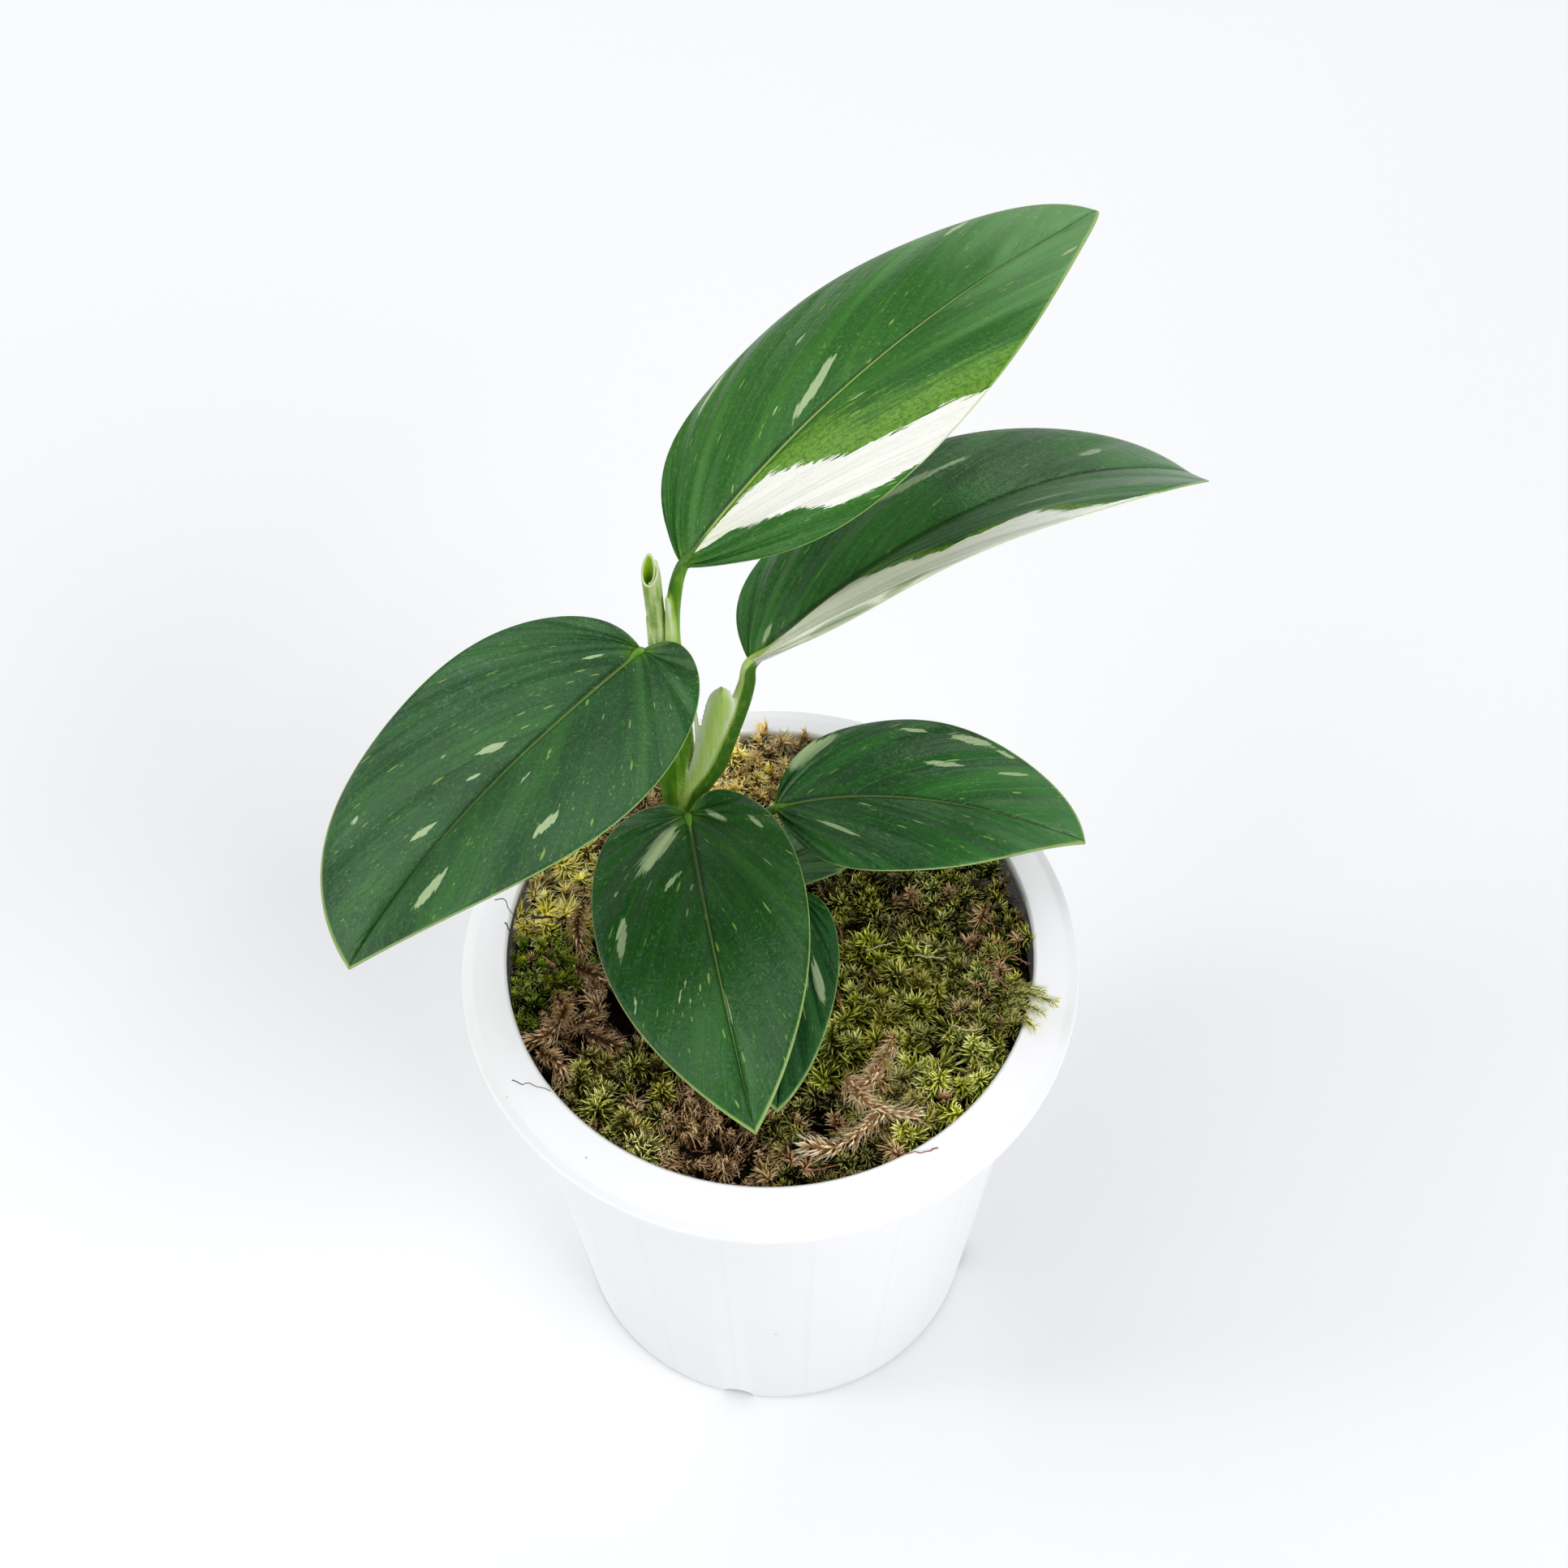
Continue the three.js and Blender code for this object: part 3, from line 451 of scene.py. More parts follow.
BLADE = dict(
    thickness=0.55, margin_thickness=0.28, groove=0.42, groove_width=0.6, keel=0.9,
    keel_width=1.1, vein_foot=5, vein_sweep=1.3, pleats=3.4, pleat_depth=0.35,
    fine_pleats=9.5, fine_depth=0.13, waves=2.3, wave_depth=0.9, wave_stagger=2,
)
SPINE_STEPS = 96
CUBIC_HEIGHT = 0.75  # how high a half outline's curve rises for controls one unit high
OUTSIDE_STREAK, OUTSIDE_SECTOR = -3.0, -5.0  # depths that stand for well outside
FINE_VEINS, MAIN_VEINS = 34, 7  # side veins on each half
VEIN_SPACING = 0.8  # distance from vein to vein, as a share of that along the midrib
COLUMN_CROWDING = 1.3  # how much closer the grid's columns stand near the midrib
PROBE = 0.05  # how far apart points are taken to find the blade's normals


def spine_of(leaf):
    """Distances, points and directions along a blade's bent midrib, in millimetres."""
    s = np.linspace(0, 1, SPINE_STEPS + 1)
    pitch = np.radians(leaf["pitch"] - leaf["droop"] * s ** leaf["droop_power"])
    heading = np.radians(leaf["heading"] + leaf["sickle"] * s)
    along = np.stack(
        [np.cos(pitch) * np.cos(heading), np.cos(pitch) * np.sin(heading), np.sin(pitch)], -1
    )
    steps = (along[1:] + along[:-1]) / 2 * leaf["length"] / SPINE_STEPS
    middle = np.vstack([np.zeros(3), np.cumsum(steps, 0)]) + leaf["base"]
    level = unit(np.stack([-along[:, 1], along[:, 0], 0 * s], -1))
    up = np.cross(along, level)
    roll = np.radians(leaf["roll"] + leaf["twist"] * s)[:, None]
    left = level * np.cos(roll) - up * np.sin(roll)
    return s * leaf["length"], middle, along, left, up * np.cos(roll) + level * np.sin(roll)


def bend(leaf, spine, x, y):
    """Points of the flat blade, x along the midrib and y to the left, on the bent blade."""
    distance, middle, along, left, up = spine

    def at(values):
        return np.stack([np.interp(x, distance, values[:, k]) for k in range(3)], -1)

    half = sum(leaf["half_width"]) / 2
    fold = np.radians(np.where(y > 0, leaf["fold"][LEFT], leaf["fold"][RIGHT]))
    curl = np.radians(leaf["curl"])
    outward = np.abs(y) / half
    sideways = (np.sin(fold) - np.sin(fold - curl * outward)) / curl * half
    upward = (np.cos(fold - curl * outward) - np.cos(fold)) / curl * half
    return (
        at(middle)
        + at(along) * np.minimum(x, 0)[..., None]
        + at(left) * (np.sign(y) * sideways)[..., None]
        + at(up) * upward[..., None]
    )


def outline_at(leaf, side, t):
    """Flat coordinates of the margin where the side vein t ends, y as its distance."""
    lobe, shoulder, fullness = leaf["outline"][side]
    early, late = 3 * (1 - t) ** 2 * t, 3 * (1 - t) * t**2
    x = (early * lobe + late * shoulder + t**3) * leaf["length"]
    y = (early * fullness + late * (2 - fullness)) * leaf["half_width"][side] / CUBIC_HEIGHT
    return x, y


def vein_point(leaf, side, t, v):
    """Flat coordinates of a place on a side vein, v from the midrib to the margin."""
    edge_x, edge_y = outline_at(leaf, side, t)
    mean = (outline_at(leaf, LEFT, t)[0] + outline_at(leaf, RIGHT, t)[0]) / 2
    foot = leaf["length"] * np.maximum(mean / leaf["length"], 0) ** BLADE["vein_foot"]
    x = foot + (edge_x - foot) * v ** BLADE["vein_sweep"]
    return x, edge_y * v * (1 if side == LEFT else -1)


def blade_grid(leaf, settings):
    """The blade's vein grid: t, side-signed v, flat x and y, and bent points with normals."""
    spine = spine_of(leaf)
    t = np.linspace(0, 1, leaf["rows"] + 2)[1:-1]
    v = np.linspace(0, 1, leaf["columns"] + 1) ** COLUMN_CROWDING
    signed = np.concatenate([-v[:0:-1], v])
    tt, vv = np.meshgrid(t, signed, indexing="ij")
    x, y = np.zeros_like(tt), np.zeros_like(tt)
    for side, mask in ((LEFT, vv >= 0), (RIGHT, vv < 0)):
        x[mask], y[mask] = vein_point(leaf, side, tt[mask], np.abs(vv[mask]))
    here = bend(leaf, spine, x, y)
    before = np.minimum(x, leaf["length"] - PROBE)
    along = bend(leaf, spine, before + PROBE, y) - bend(leaf, spine, before, y)
    outward = bend(leaf, spine, x, y + np.where(y >= 0, PROBE, -PROBE)) - here
    normal = unit(np.cross(along, outward * np.where(y >= 0, 1, -1)[..., None]))
    a = np.abs(vv)
    phase = 2 * math.pi * BLADE["waves"] * tt + np.where(y > 0, 0, BLADE["wave_stagger"])
    lift = (
        BLADE["pleat_depth"] * np.sin(2 * math.pi * BLADE["pleats"] * tt) * np.sin(math.pi * a)
        + BLADE["fine_depth"] * np.sin(2 * math.pi * BLADE["fine_pleats"] * tt) * np.sin(math.pi * a)
        + BLADE["wave_depth"] * settings.wave * np.sin(phase) * a**4 * (1 - tt)
    )
    return tt, vv, x, y, here + normal * lift[..., None], normal


def streak_depth(leaf, spine, places, key="streaks"):
    """How far inside a streak each place is: 1 on its middle line, 0 on its edge."""
    depth = np.full(places.shape[:-1], OUTSIDE_STREAK)
    for side, t0, v0, t1, v1, width in leaf.get(key, ()):
        ends = [
            bend(leaf, spine, *(np.array([c]) for c in vein_point(leaf, side, t, v)))[0]
            for t, v in ((t0, v0), (t1, v1))
        ]
        centre = (ends[0] + ends[1]) / 2
        axis = ends[1] - ends[0]
        length = np.linalg.norm(axis)
        axis = axis / length
        offset = places - centre
        along = offset @ axis
        across = np.linalg.norm(offset - along[..., None] * axis, axis=-1)
        inside = 1 - np.hypot(along / (length / 2 + width / 4), across / (width / 2))
        depth = np.maximum(depth, inside)
    return depth


def sector_depth(leaf, tt, vv):
    """How far inside the right half's cream sector each place is, in millimetres, and how lime."""
    if "cream_to" not in leaf:
        return np.full(tt.shape, OUTSIDE_SECTOR), np.zeros(tt.shape)
    a = np.abs(vv)
    low = np.interp(a, *zip(*leaf["cream_from"]))
    high = np.interp(a, *zip(*leaf["cream_to"]))
    inside = np.minimum(tt - low, high - tt) * leaf["length"] * VEIN_SPACING
    inside = np.where(vv < 0, inside, OUTSIDE_SECTOR)
    lime = np.clip(1 - (tt - high) / leaf["lime_span"], 0, 1)
    return inside, np.where((vv < 0) & (tt > high), lime, 0)


def blade_piece(name, leaf, settings):
    """One blade, with its upper and lower face and the thin edge between them."""
    tt, vv, x, y, points, normal = blade_grid(leaf, settings)
    spine = spine_of(leaf)
    from_rib = np.abs(y)
    reach = np.clip(x / leaf["length"], 0, 1)
    groove = BLADE["groove"] * np.exp(-((from_rib / BLADE["groove_width"]) ** 2)) * (1 - reach) ** 0.5
    keel = BLADE["keel"] * np.exp(-((from_rib / BLADE["keel_width"]) ** 2)) * (1 - reach)
    edge = np.abs(vv)
    thinning = edge**6
    half = settings.thickness / MM / 2 * (1 - thinning) + BLADE["margin_thickness"] / 2 * thinning
    upper = points + normal * (half - groove)[..., None]
    lower = points - normal * (half + keel)[..., None]
    cream, lime = sector_depth(leaf, tt, vv)
    grids = dict(
        streak=streak_depth(leaf, spine, points), veil=streak_depth(leaf, spine, points, "sheen_veils"),
        cream=cream, lime=lime, from_margin=(1 - edge) * vein_span(leaf, tt, vv),
        from_rib=from_rib, reach=reach, vein=tt, out=vv,
    )
    base_up, base_low = end_pair(leaf, spine, 0.0, 0)
    tip_up, tip_low = end_pair(leaf, spine, leaf["length"], -1)
    ends = [base_up, base_low, tip_up, tip_low]
    all_points = np.vstack([upper.reshape(-1, 3), lower.reshape(-1, 3), ends])
    at_ends = dict(reach=(0, 0, 1, 1), vein=(0, 0, 1, 1), streak=(OUTSIDE_STREAK,) * 4,
                   veil=(OUTSIDE_STREAK,) * 4, cream=(OUTSIDE_SECTOR,) * 4)
    attributes = {}
    for key, grid in grids.items():
        values = grid.ravel()
        attributes[key] = np.concatenate([values, values, at_ends.get(key, (0, 0, 0, 0))])
    attributes["under"] = np.concatenate([np.zeros(tt.size), np.ones(tt.size), [0, 1, 0, 1]])
    uv = np.stack(
        [attributes["vein"] * leaf["length"] / 10, attributes["out"] * leaf["half_width"][LEFT] / 10], -1
    )
    piece = mesh_piece(
        name + "_fine", all_points * MM, blade_faces(*tt.shape), blade_material(name, leaf),
        attributes, uv,
    )
    turn_outward(piece.data)
    return piece


def blade_faces(rows, columns):
    """Faces of a blade's two grids, closed at base and tip round the four points that follow."""
    n = rows * columns
    bu, bl, tu, tl = range(2 * n, 2 * n + 4)
    faces = []
    for i in range(rows - 1):
        for j in range(columns - 1):
            a, b = i * columns + j, i * columns + j + 1
            c, d = b + columns, a + columns
            faces.append((a, d, c, b))
            faces.append((a + n, b + n, c + n, d + n))
    last = (rows - 1) * columns
    for j in range(columns - 1):
        faces += [(bu, j, j + 1), (bl, j + 1 + n, j + n)]
        faces += [(tu, last + j + 1, last + j), (tl, last + j + n, last + j + 1 + n)]
    for j, turn in ((0, 1), (columns - 1, -1)):
        rim = [(i * columns + j, i * columns + j + n) for i in range(rows)]
        rim = [(bu, bl), *rim, (tu, tl)]
        for (a, b), (d, c) in zip(rim[:-1], rim[1:]):
            faces.append((a, b, c, d)[::turn])
    return faces


def vein_span(leaf, tt, vv):
    """How far the margin lies from the midrib at each side vein."""
    return np.where(vv >= 0, outline_at(leaf, LEFT, tt)[1], outline_at(leaf, RIGHT, tt)[1])


def end_pair(leaf, spine, x, index):
    """The upper and lower point where both margins meet, at the base or at the tip."""
    place = bend(leaf, spine, np.array([x]), np.array([0.0]))[0]
    up = spine[4][index]
    return place + up * BLADE["margin_thickness"] / 2, place - up * BLADE["margin_thickness"] / 2


def turn_outward(mesh):
    """Flips the whole mesh if its faces point in."""
    points = np.zeros(len(mesh.vertices) * 3)
    mesh.vertices.foreach_get("co", points)
    points = points.reshape(-1, 3)
    mesh.calc_loop_triangles()
    corners = np.zeros(len(mesh.loop_triangles) * 3, np.int32)
    mesh.loop_triangles.foreach_get("vertices", corners)
    a, b, c = (points[corners.reshape(-1, 3)[:, k]] for k in range(3))
    if np.einsum("ij,ij->i", a, np.cross(b, c)).sum() < 0:
        mesh.flip_normals()


def blade_material(name, leaf):
    """Glossy leaf skin: veins, speckles along them, streaks, and the cream sector if it has one."""
    material, w, shader = new_material(name.replace("leaf_", "").replace("_blade", "") + " leaf skin")
    uv = w.add("ShaderNodeUVMap", uv_map="surface").outputs[0]
    place = object_coordinates(w)
    vein, reach = w.attribute("vein"), w.attribute("reach")
    from_rib, from_margin = w.attribute("from_rib"), w.attribute("from_margin")
    under = w.attribute("under")
    green, light, deep = leaf["green"], leaf["light"], leaf["deep"]

    # Green, mottled and drawn out along the side veins, which crowd together near the base, with bands
    # of painted shade and sheen along the pleats
    apart = w.step(reach, 0.03, 0.3)
    cloud = w.noise(place, 60, 3)
    grain = w.noise(place, 1300, 2)
    pleat_shade_and_sheen = w.stretched(uv, (1.6, 0.25, 1.0), 2)
    streaky = w.stretched(uv, (9.0, 1.4, 1.0), 3, 0.65)
    colour = w.mix(w.step(cloud, 0.36, 0.66), deep, green)
    # Painted shade and sheen: lighter and darker bands along the pleats
    colour = w.tint(colour, w.step(pleat_shade_and_sheen, 0.45, 0.7), 0.45, light)
    drawn = w.times(w.step(streaky, 0.48, 0.74), w.times(apart, 0.4))
    colour = w.mix(drawn, colour, light)
    # The pale grain is partly fine mottling of the skin and partly painted glints of light on it
    colour = w.tint(colour, w.step(grain, 0.5, 0.72), 0.4, light)
    # Painted sheen: the blade turns paler towards its tip
    if "tip" in leaf:
        tip_sheen_share = w.scale_add(w.centred(pleat_shade_and_sheen), 0.6, reach)
        colour = w.tint(colour, w.step(tip_sheen_share, 0.55, 0.98), 0.85, leaf["tip"])
    patchy = w.scale_add(w.centred(streaky), 1.6, w.attribute("lime"))
    lime = w.mix(w.step(grain, 0.35, 0.6), "4c7c1c", "68982c")
    lime_on = w.times(w.step(patchy, 0.1, 0.6), w.step(w.attribute("lime"), 0.0, 0.08))
    colour = w.mix(lime_on, colour, lime)

    # Side veins: a few strong ones, and fine ones between them
    fine = w.scale_add(vein, FINE_VEINS, w.times(w.noise(uv, 1.2, 1), 0.8))
    fine_line = w.fade(w.math("PINGPONG", fine, 0.5), 0.0, 0.1)
    fine_line = w.times(fine_line, apart)
    main = w.math("PINGPONG", w.scale_add(vein, MAIN_VEINS, 0.12), 0.5)
    main_line = w.fade(main, 0.0, 0.02)
    near_base = w.fade(reach, 0.1, 0.6)
    main_share = w.times(apart, w.scale_add(near_base, 0.3, 0.05))
    colour = w.tint(colour, fine_line, 0.14, light)
    colour = w.tint(colour, main_line, main_share, light)

    # Cream: the sector, the streaks and a drizzle of speckles, with a painted grey-green sheen near the
    # margin
    comb = w.stretched(uv, (15.0, 2.2, 1.0), 2, 0.7)
    blocks = w.stretched(uv, (0.8, 3.6, 1.0), 2, 0.8)
    jag = w.scale_add(w.centred(comb), 4.2, w.attribute("cream"))
    jag = w.scale_add(w.centred(blocks), 3.4, jag)
    sector = w.step(jag, -0.12, 0.12)
    ragged = w.scale_add(w.centred(comb), 1.5, w.attribute("streak"))
    streak = w.step(ragged, 0.0, 0.16)
    dash = dashes(w, uv, (13.0, 4.2, 1.0), 0.9, 0.26)
    dot = w.times(dashes(w, uv, (24.0, 12.0, 1.0), 0.84, 0.26), w.step(cloud, 0.4, 0.6))
    dust = dashes(w, uv, (46.0, 24.0, 1.0), 0.9, 0.3)
    specks = w.math("MAXIMUM", dash, w.times(dot, 0.75))
    specks = w.math("MAXIMUM", specks, w.times(dust, 0.5))
    colour = w.tint(colour, specks, 0.75, "93b455")
    colour = w.tint(colour, streak, 0.94, "a9bf8e")
    pale_from, pale_to = leaf.get("pale_between", (0.0, 0.2))
    cream = w.mix(w.step(reach, pale_from, pale_to), "eff4d4", "fbfaea")
    wash = w.stretched(uv, (4.0, 0.5, 1.0), 3)
    washed = w.math("SUBTRACT", 0.7, w.times(w.step(reach, pale_from, pale_to), 0.5))
    cream = w.tint(cream, w.step(wash, 0.5, 0.7), washed, "a3b58c")
    colour = w.mix(sector, colour, cream)
    # Painted sheen: a grey-green veil laid over the cream near the margin
    veil = w.scale_add(w.centred(comb), 1.2, w.attribute("veil"))
    colour = w.tint(colour, w.step(veil, 0.0, 0.3), 0.85, "8fa383")

    # Midrib with painted shade in its groove, margin and the green heel where the blade meets its
    # petiole
    rib_width = w.times(w.math("SUBTRACT", 1.2, reach), 0.42)
    rib_share = w.math("DIVIDE", from_rib, rib_width)
    off_sector = w.without(sector)
    # Painted shade beside the midrib, where its groove lies
    painted_groove_shade = w.times(w.fade(rib_share, 1.2, 3.2), off_sector)
    colour = w.tint(colour, painted_groove_shade, 0.75, "10330e")
    rib = w.fade(rib_share, 0.4, 1.1)
    at_base, at_tip = leaf["rib"]
    strength = w.scale_add(reach, at_tip - at_base, at_base)
    colour = w.tint(colour, rib, strength, "a2c65c")
    margin = w.fade(from_margin, 0.05, 0.22)
    colour = w.tint(colour, margin, 0.8, "a5bf6c")
    heel = w.fade(reach, 0.0, 0.06)
    heel = w.times(heel, w.fade(from_rib, 1.0, 5.0))
    heel = w.times(heel, off_sector)
    colour = w.tint(colour, heel, 0.6, "568a1f")
    dull = w.mix(sector, "5c8252", "d6dac6")
    colour = w.tint(colour, under, 0.8, dull)

    # Rings left by dried drops of water
    if leaf.get("water_marks"):
        ring = w.math("ABSOLUTE", w.math("SUBTRACT", w.noise(place, 130, 4, 0.55), 0.5))
        ring = w.fade(ring, 0.0, 0.007)
        region = w.step(w.noise(place, 42, 1), 0.53, 0.62)
        colour = w.tint(colour, w.times(ring, region), 0.4, "64888a")

    pebble = w.noise(place, 1250, 2, 0.6)
    blister = w.noise(place, 520, 2)
    relief = w.scale_add(pebble, 0.55, w.times(blister, 0.75))
    relief = w.scale_add(w.step(main, 0.0, 0.3), 1.4, relief)
    relief = w.scale_add(main_line, -0.3, relief)
    relief = w.scale_add(fine_line, -0.2, relief)
    normal = w.bump(relief, 1.0, 0.00026)
    rough = w.scale_add(grain, 0.12, 0.27)
    rough = w.scale_add(under, 0.22, rough)
    connect(w, shader, Base_Color=colour, Roughness=rough, Normal=normal, Specular_IOR_Level=0.3)
    glow = w.times(sector, 0.5)
    connect(w, shader, Subsurface_Weight=glow, Subsurface_Scale=0.003, Subsurface_Radius=(1, 0.95, 0.75))
    return material


def dashes(w, uv, stretch, rarity, size):
    """Short marks along the veins: cells of a stretched pattern, most of them left empty."""
    cells = w.add(
        "ShaderNodeTexVoronoi", {"Vector": w.vector("MULTIPLY", uv, stretch), "Scale": 1.0}
    )
    pick = w.add("ShaderNodeSeparateColor", {0: cells.outputs["Color"]})
    chosen = w.math("GREATER_THAN", pick.outputs[0], rarity)
    radius = w.scale_add(pick.outputs[1], size, size * 0.4)
    inside = w.fade(w.math("DIVIDE", cells.outputs["Distance"], radius), 0.7, 1.1)
    return w.times(chosen, inside)


# Stem and petioles

# The stem and each petiole: route, half width and half depth, and the tones of its left side,
# middle and right side as shares of pale and of dark. The first seven petioles carry the blades
# in their order, the last one the new leaf.
STEM = dict(
    route=((-15.5, 27, 96.3), (-15.6, 27, 110), (-16, 27.3, 122), (-17.4, 28.4, 134), (-18, 29, 139)),
    half_width=(2.9, 3.0, 3.1, 2.9, 2.2), half_depth=(2.9, 3.0, 3.1, 2.9, 2.2),
    tones=((0.1, 0.1), (0.1, 0.1), (0.1, 0.1)),
)
PETIOLES = (
    dict(route=((-17, 28, 128), (-18.2, 28.9, 137), (-17.8, 30.1, 147.5), (-17.5, 31.1, 155),
                (-17.7, 33.1, 169.7), (-18.5, 35.3, 189), (-17.8, 36, 201.3), (-15.9, 36.1, 211.5)),
         half_width=(3, 3, 2.9, 2.6, 2.1, 1.7, 1.5, 1.3),
         half_depth=(2.4, 2.1, 1.9, 1.7, 1.6, 1.4, 1.3, 1.0),
         tones=((0.1, 0.7), (0.15, 0.2), (0.4, 0))),
    dict(route=((-16.6, 27.9, 126), (-17, 28.3, 137), (-14.8, 28.6, 146.6), (-11.3, 28.9, 154),
                (-8.2, 29.2, 164.7), (-5.2, 29.5, 175.5), (-3.8, 29.8, 181.9), (-3.0, 30, 187.6)),
         half_width=(2.8, 2.8, 2.9, 2.9, 2.5, 2.1, 1.8, 1.5),
         half_depth=(2, 1.9, 1.8, 1.7, 1.6, 1.5, 1.3, 1.0),
         tones=((1, 0), (0.1, 0.6), (0, 1))),
    dict(route=((-16.2, 27.8, 124), (-19, 29.2, 138), (-20.2, 30, 149), (-21.9, 30.6, 164),
                (-23.6, 30.9, 180), (-24.5, 31, 190.9)),
         half_width=(2.4, 2.8, 2.9, 2.2, 1.5, 1.1), half_depth=(2, 1.8, 1.6, 1.4, 1.3, 1.0),
         tones=((0.1, 0.2), (0.15, 0.1), (0.5, 0))),
    dict(route=((-15.8, 26.8, 120), (-15.6, 22.6, 128), (-16.1, 20.2, 138), (-16.6, 20.5, 147.0)),
         half_width=(2.2, 1.8, 1.5, 1.1), half_depth=(1.8, 1.6, 1.3, 1.1),
         tones=((0.2, 0.2), (0.3, 0), (0.3, 0.1))),
    dict(route=((-15.2, 27, 119), (-9.5, 26.8, 128), (-3.5, 25.7, 137), (1.3, 24.6, 143.6)),
         half_width=(2.1, 1.7, 1.4, 1.0), half_depth=(1.8, 1.5, 1.3, 1.0),
         tones=((0.2, 0.3), (0.3, 0.2), (0.2, 0.3))),
    dict(route=((-15.4, 26.4, 118), (-9.5, 19.4, 126), (-2, 12.5, 133), (4.4, 7.7, 137.7)),
         half_width=(1.9, 1.5, 1.2, 0.9), half_depth=(1.7, 1.4, 1.2, 0.9),
         tones=((0.2, 0.3), (0.3, 0.2), (0.2, 0.3))),
    dict(route=((-15.2, 26, 117), (-11, 21.8, 123.4), (-7, 18.6, 127.6), (-3.0, 17, 129.7)),
         half_width=(1.8, 1.4, 1.1, 0.8), half_depth=(1.6, 1.3, 1.1, 0.8),
         tones=((0.2, 0.3), (0.3, 0.2), (0.2, 0.3))),
    dict(route=((-18.4, 30, 146), (-19.4, 32.4, 162), (-21.2, 34.8, 178), (-22, 35.7, 188.8)),
         half_width=(1.4, 1.5, 1.7, 1.6), half_depth=(1.3, 1.4, 1.4, 1.3),
         tones=((0.3, 0.2), (0.7, 0), (0.8, 0))),
)
# Each sheath tongue: its middle line, its half width along the way, how far its edges bend
# back, its thickness, and which way its hollow side faces.
SHEATHS = (
    dict(route=((-17.8, 27.6, 143), (-14.2, 27.6, 155), (-11.3, 27.7, 167), (-9.3, 27.9, 177),
                (-8.5, 28.2, 182)),
         half_width=(1.2, 2.0, 2.6, 2.7, 0.9), cup=0.9, thickness=0.6, hollow=(0.2, 1, 0)),
    dict(route=((-14.9, 29.6, 148), (-14.3, 29.7, 160), (-14.2, 29.6, 169), (-14.8, 29.5, 177)),
         half_width=(0.6, 1.0, 0.8, 0.2), cup=0.3, thickness=0.45, hollow=(-1, 0.4, 0)),
    dict(route=((-22.2, 34.2, 184), (-22.8, 34.4, 191), (-23.4, 34.9, 197.5)),
         half_width=(1.0, 0.9, 0.2), cup=0.3, thickness=0.45, hollow=(0.4, 1, 0)),
    dict(route=((-19.2, 33.9, 184), (-19.1, 34.2, 195), (-19.3, 34.6, 204.5)),
         half_width=(0.7, 0.7, 0.2), cup=0.3, thickness=0.45, hollow=(0, 1, 0)),
)
UNDER_BLADE_STEPS = (4, 9)  # where on the midrib the two last places of a petiole lie
STEM_SIDES, STEM_STEPS = 20, 14  # faces round a petiole, and rings for each point of its route
SHEATH_ROWS, SHEATH_COLUMNS = 40, 17
GUIDES_READ = 6  # how many guide points near a point of the skin give it its tone
# How pale a sheath is at places across it, as counted from its left edge.
SHEATH_TONES = ((0, 1.5), (-1, 1.5), (3, 1), (-4, 1), (8, 0.95))


def spread(values, count):
    """Values given at even steps, read at more of them."""
    return np.interp(np.linspace(0, 1, count), np.linspace(0, 1, len(values)), values)


def sheath_shell(row):
    """A sheath's tongue as a closed cupped shell, with its middle line and its two edges."""
    count, across = SHEATH_ROWS, SHEATH_COLUMNS
    route = smooth_route(row["route"], count)
    along = unit(np.gradient(route, axis=0))
    back = square_to(along, row["hollow"])
    side = np.cross(along, back)
    half = smooth_route([(h, 0, 0) for h in row["half_width"]], count)[:, 0]
    half = np.maximum(half * np.sqrt(np.clip((1.02 - np.linspace(0, 1, count)) * 8, 0, 1)), 0.12)
    u = np.linspace(-1, 1, across)
    middle = (
        route[:, None]
        + side[:, None] * (u[None, :, None] * half[:, None, None])
        + back[:, None] * (u**2 * row["cup"])[None, :, None]
    )
    thick = row["thickness"] / 2 * np.sqrt(1 - 0.7 * u**2)[None, :, None]
    front = (middle - back[:, None] * thick).reshape(-1, 3)
    rear = (middle + back[:, None] * thick).reshape(-1, 3)
    return np.vstack([front, rear]), shell_faces(count, across), middle


def under_blade(row, leaf):
    """A petiole drawn out to a point under its blade, where it becomes the midrib."""
    _, middle, _, _, up = spine_of(leaf)
    ends = tuple(tuple(middle[i] - 0.5 * up[i]) for i in UNDER_BLADE_STEPS)
    return dict(
        row, route=row["route"] + ends, half_width=row["half_width"] + (0.75, 0.45),
        half_depth=row["half_depth"] + (0.6, 0.4),
    )


def stem_piece(settings):
    """Stem, petioles and sheaths fused into one skin, with the shares of pale and dark in it."""
    parts, guide = [], []
    petioles = [under_blade(*pair) for pair in zip(PETIOLES, LEAVES.values())]
    for row in (STEM, *petioles, PETIOLES[-1]):
        count = max(24, len(row["route"]) * STEM_STEPS)
        line = smooth_route(row["route"], count)
        wide = spread(row["half_width"], count)
        parts.append(tube(line, wide, spread(row["half_depth"], count), STEM_SIDES))
        for shift, tone in zip((-0.85, 0, 0.85), row["tones"]):
            for depth in (-0.6, 0.6):
                guide += [(p + (shift * h, depth * h, 0), tone) for p, h in zip(line, wide)]
    for row in SHEATHS:
        points, faces, middle = sheath_shell(row)
        parts.append((points, faces))
        for line in middle:
            guide += [(line[place], (pale, 0)) for place, pale in SHEATH_TONES]
    points, faces = joined(parts)
    piece = mesh_piece("stem_and_petioles_fine", points * MM, faces, stem_material(settings))
    skin = piece.modifiers.new("skin", "REMESH")
    skin.mode = "VOXEL"
    skin.voxel_size = settings.skin_step
    skin.use_smooth_shade = True
    relax = piece.modifiers.new("relax", "SMOOTH")
    relax.factor = 0.5
    relax.iterations = 3
    baked(piece)
    paint_tones(piece.data, guide)
    piece.data.shade_smooth()
    return piece


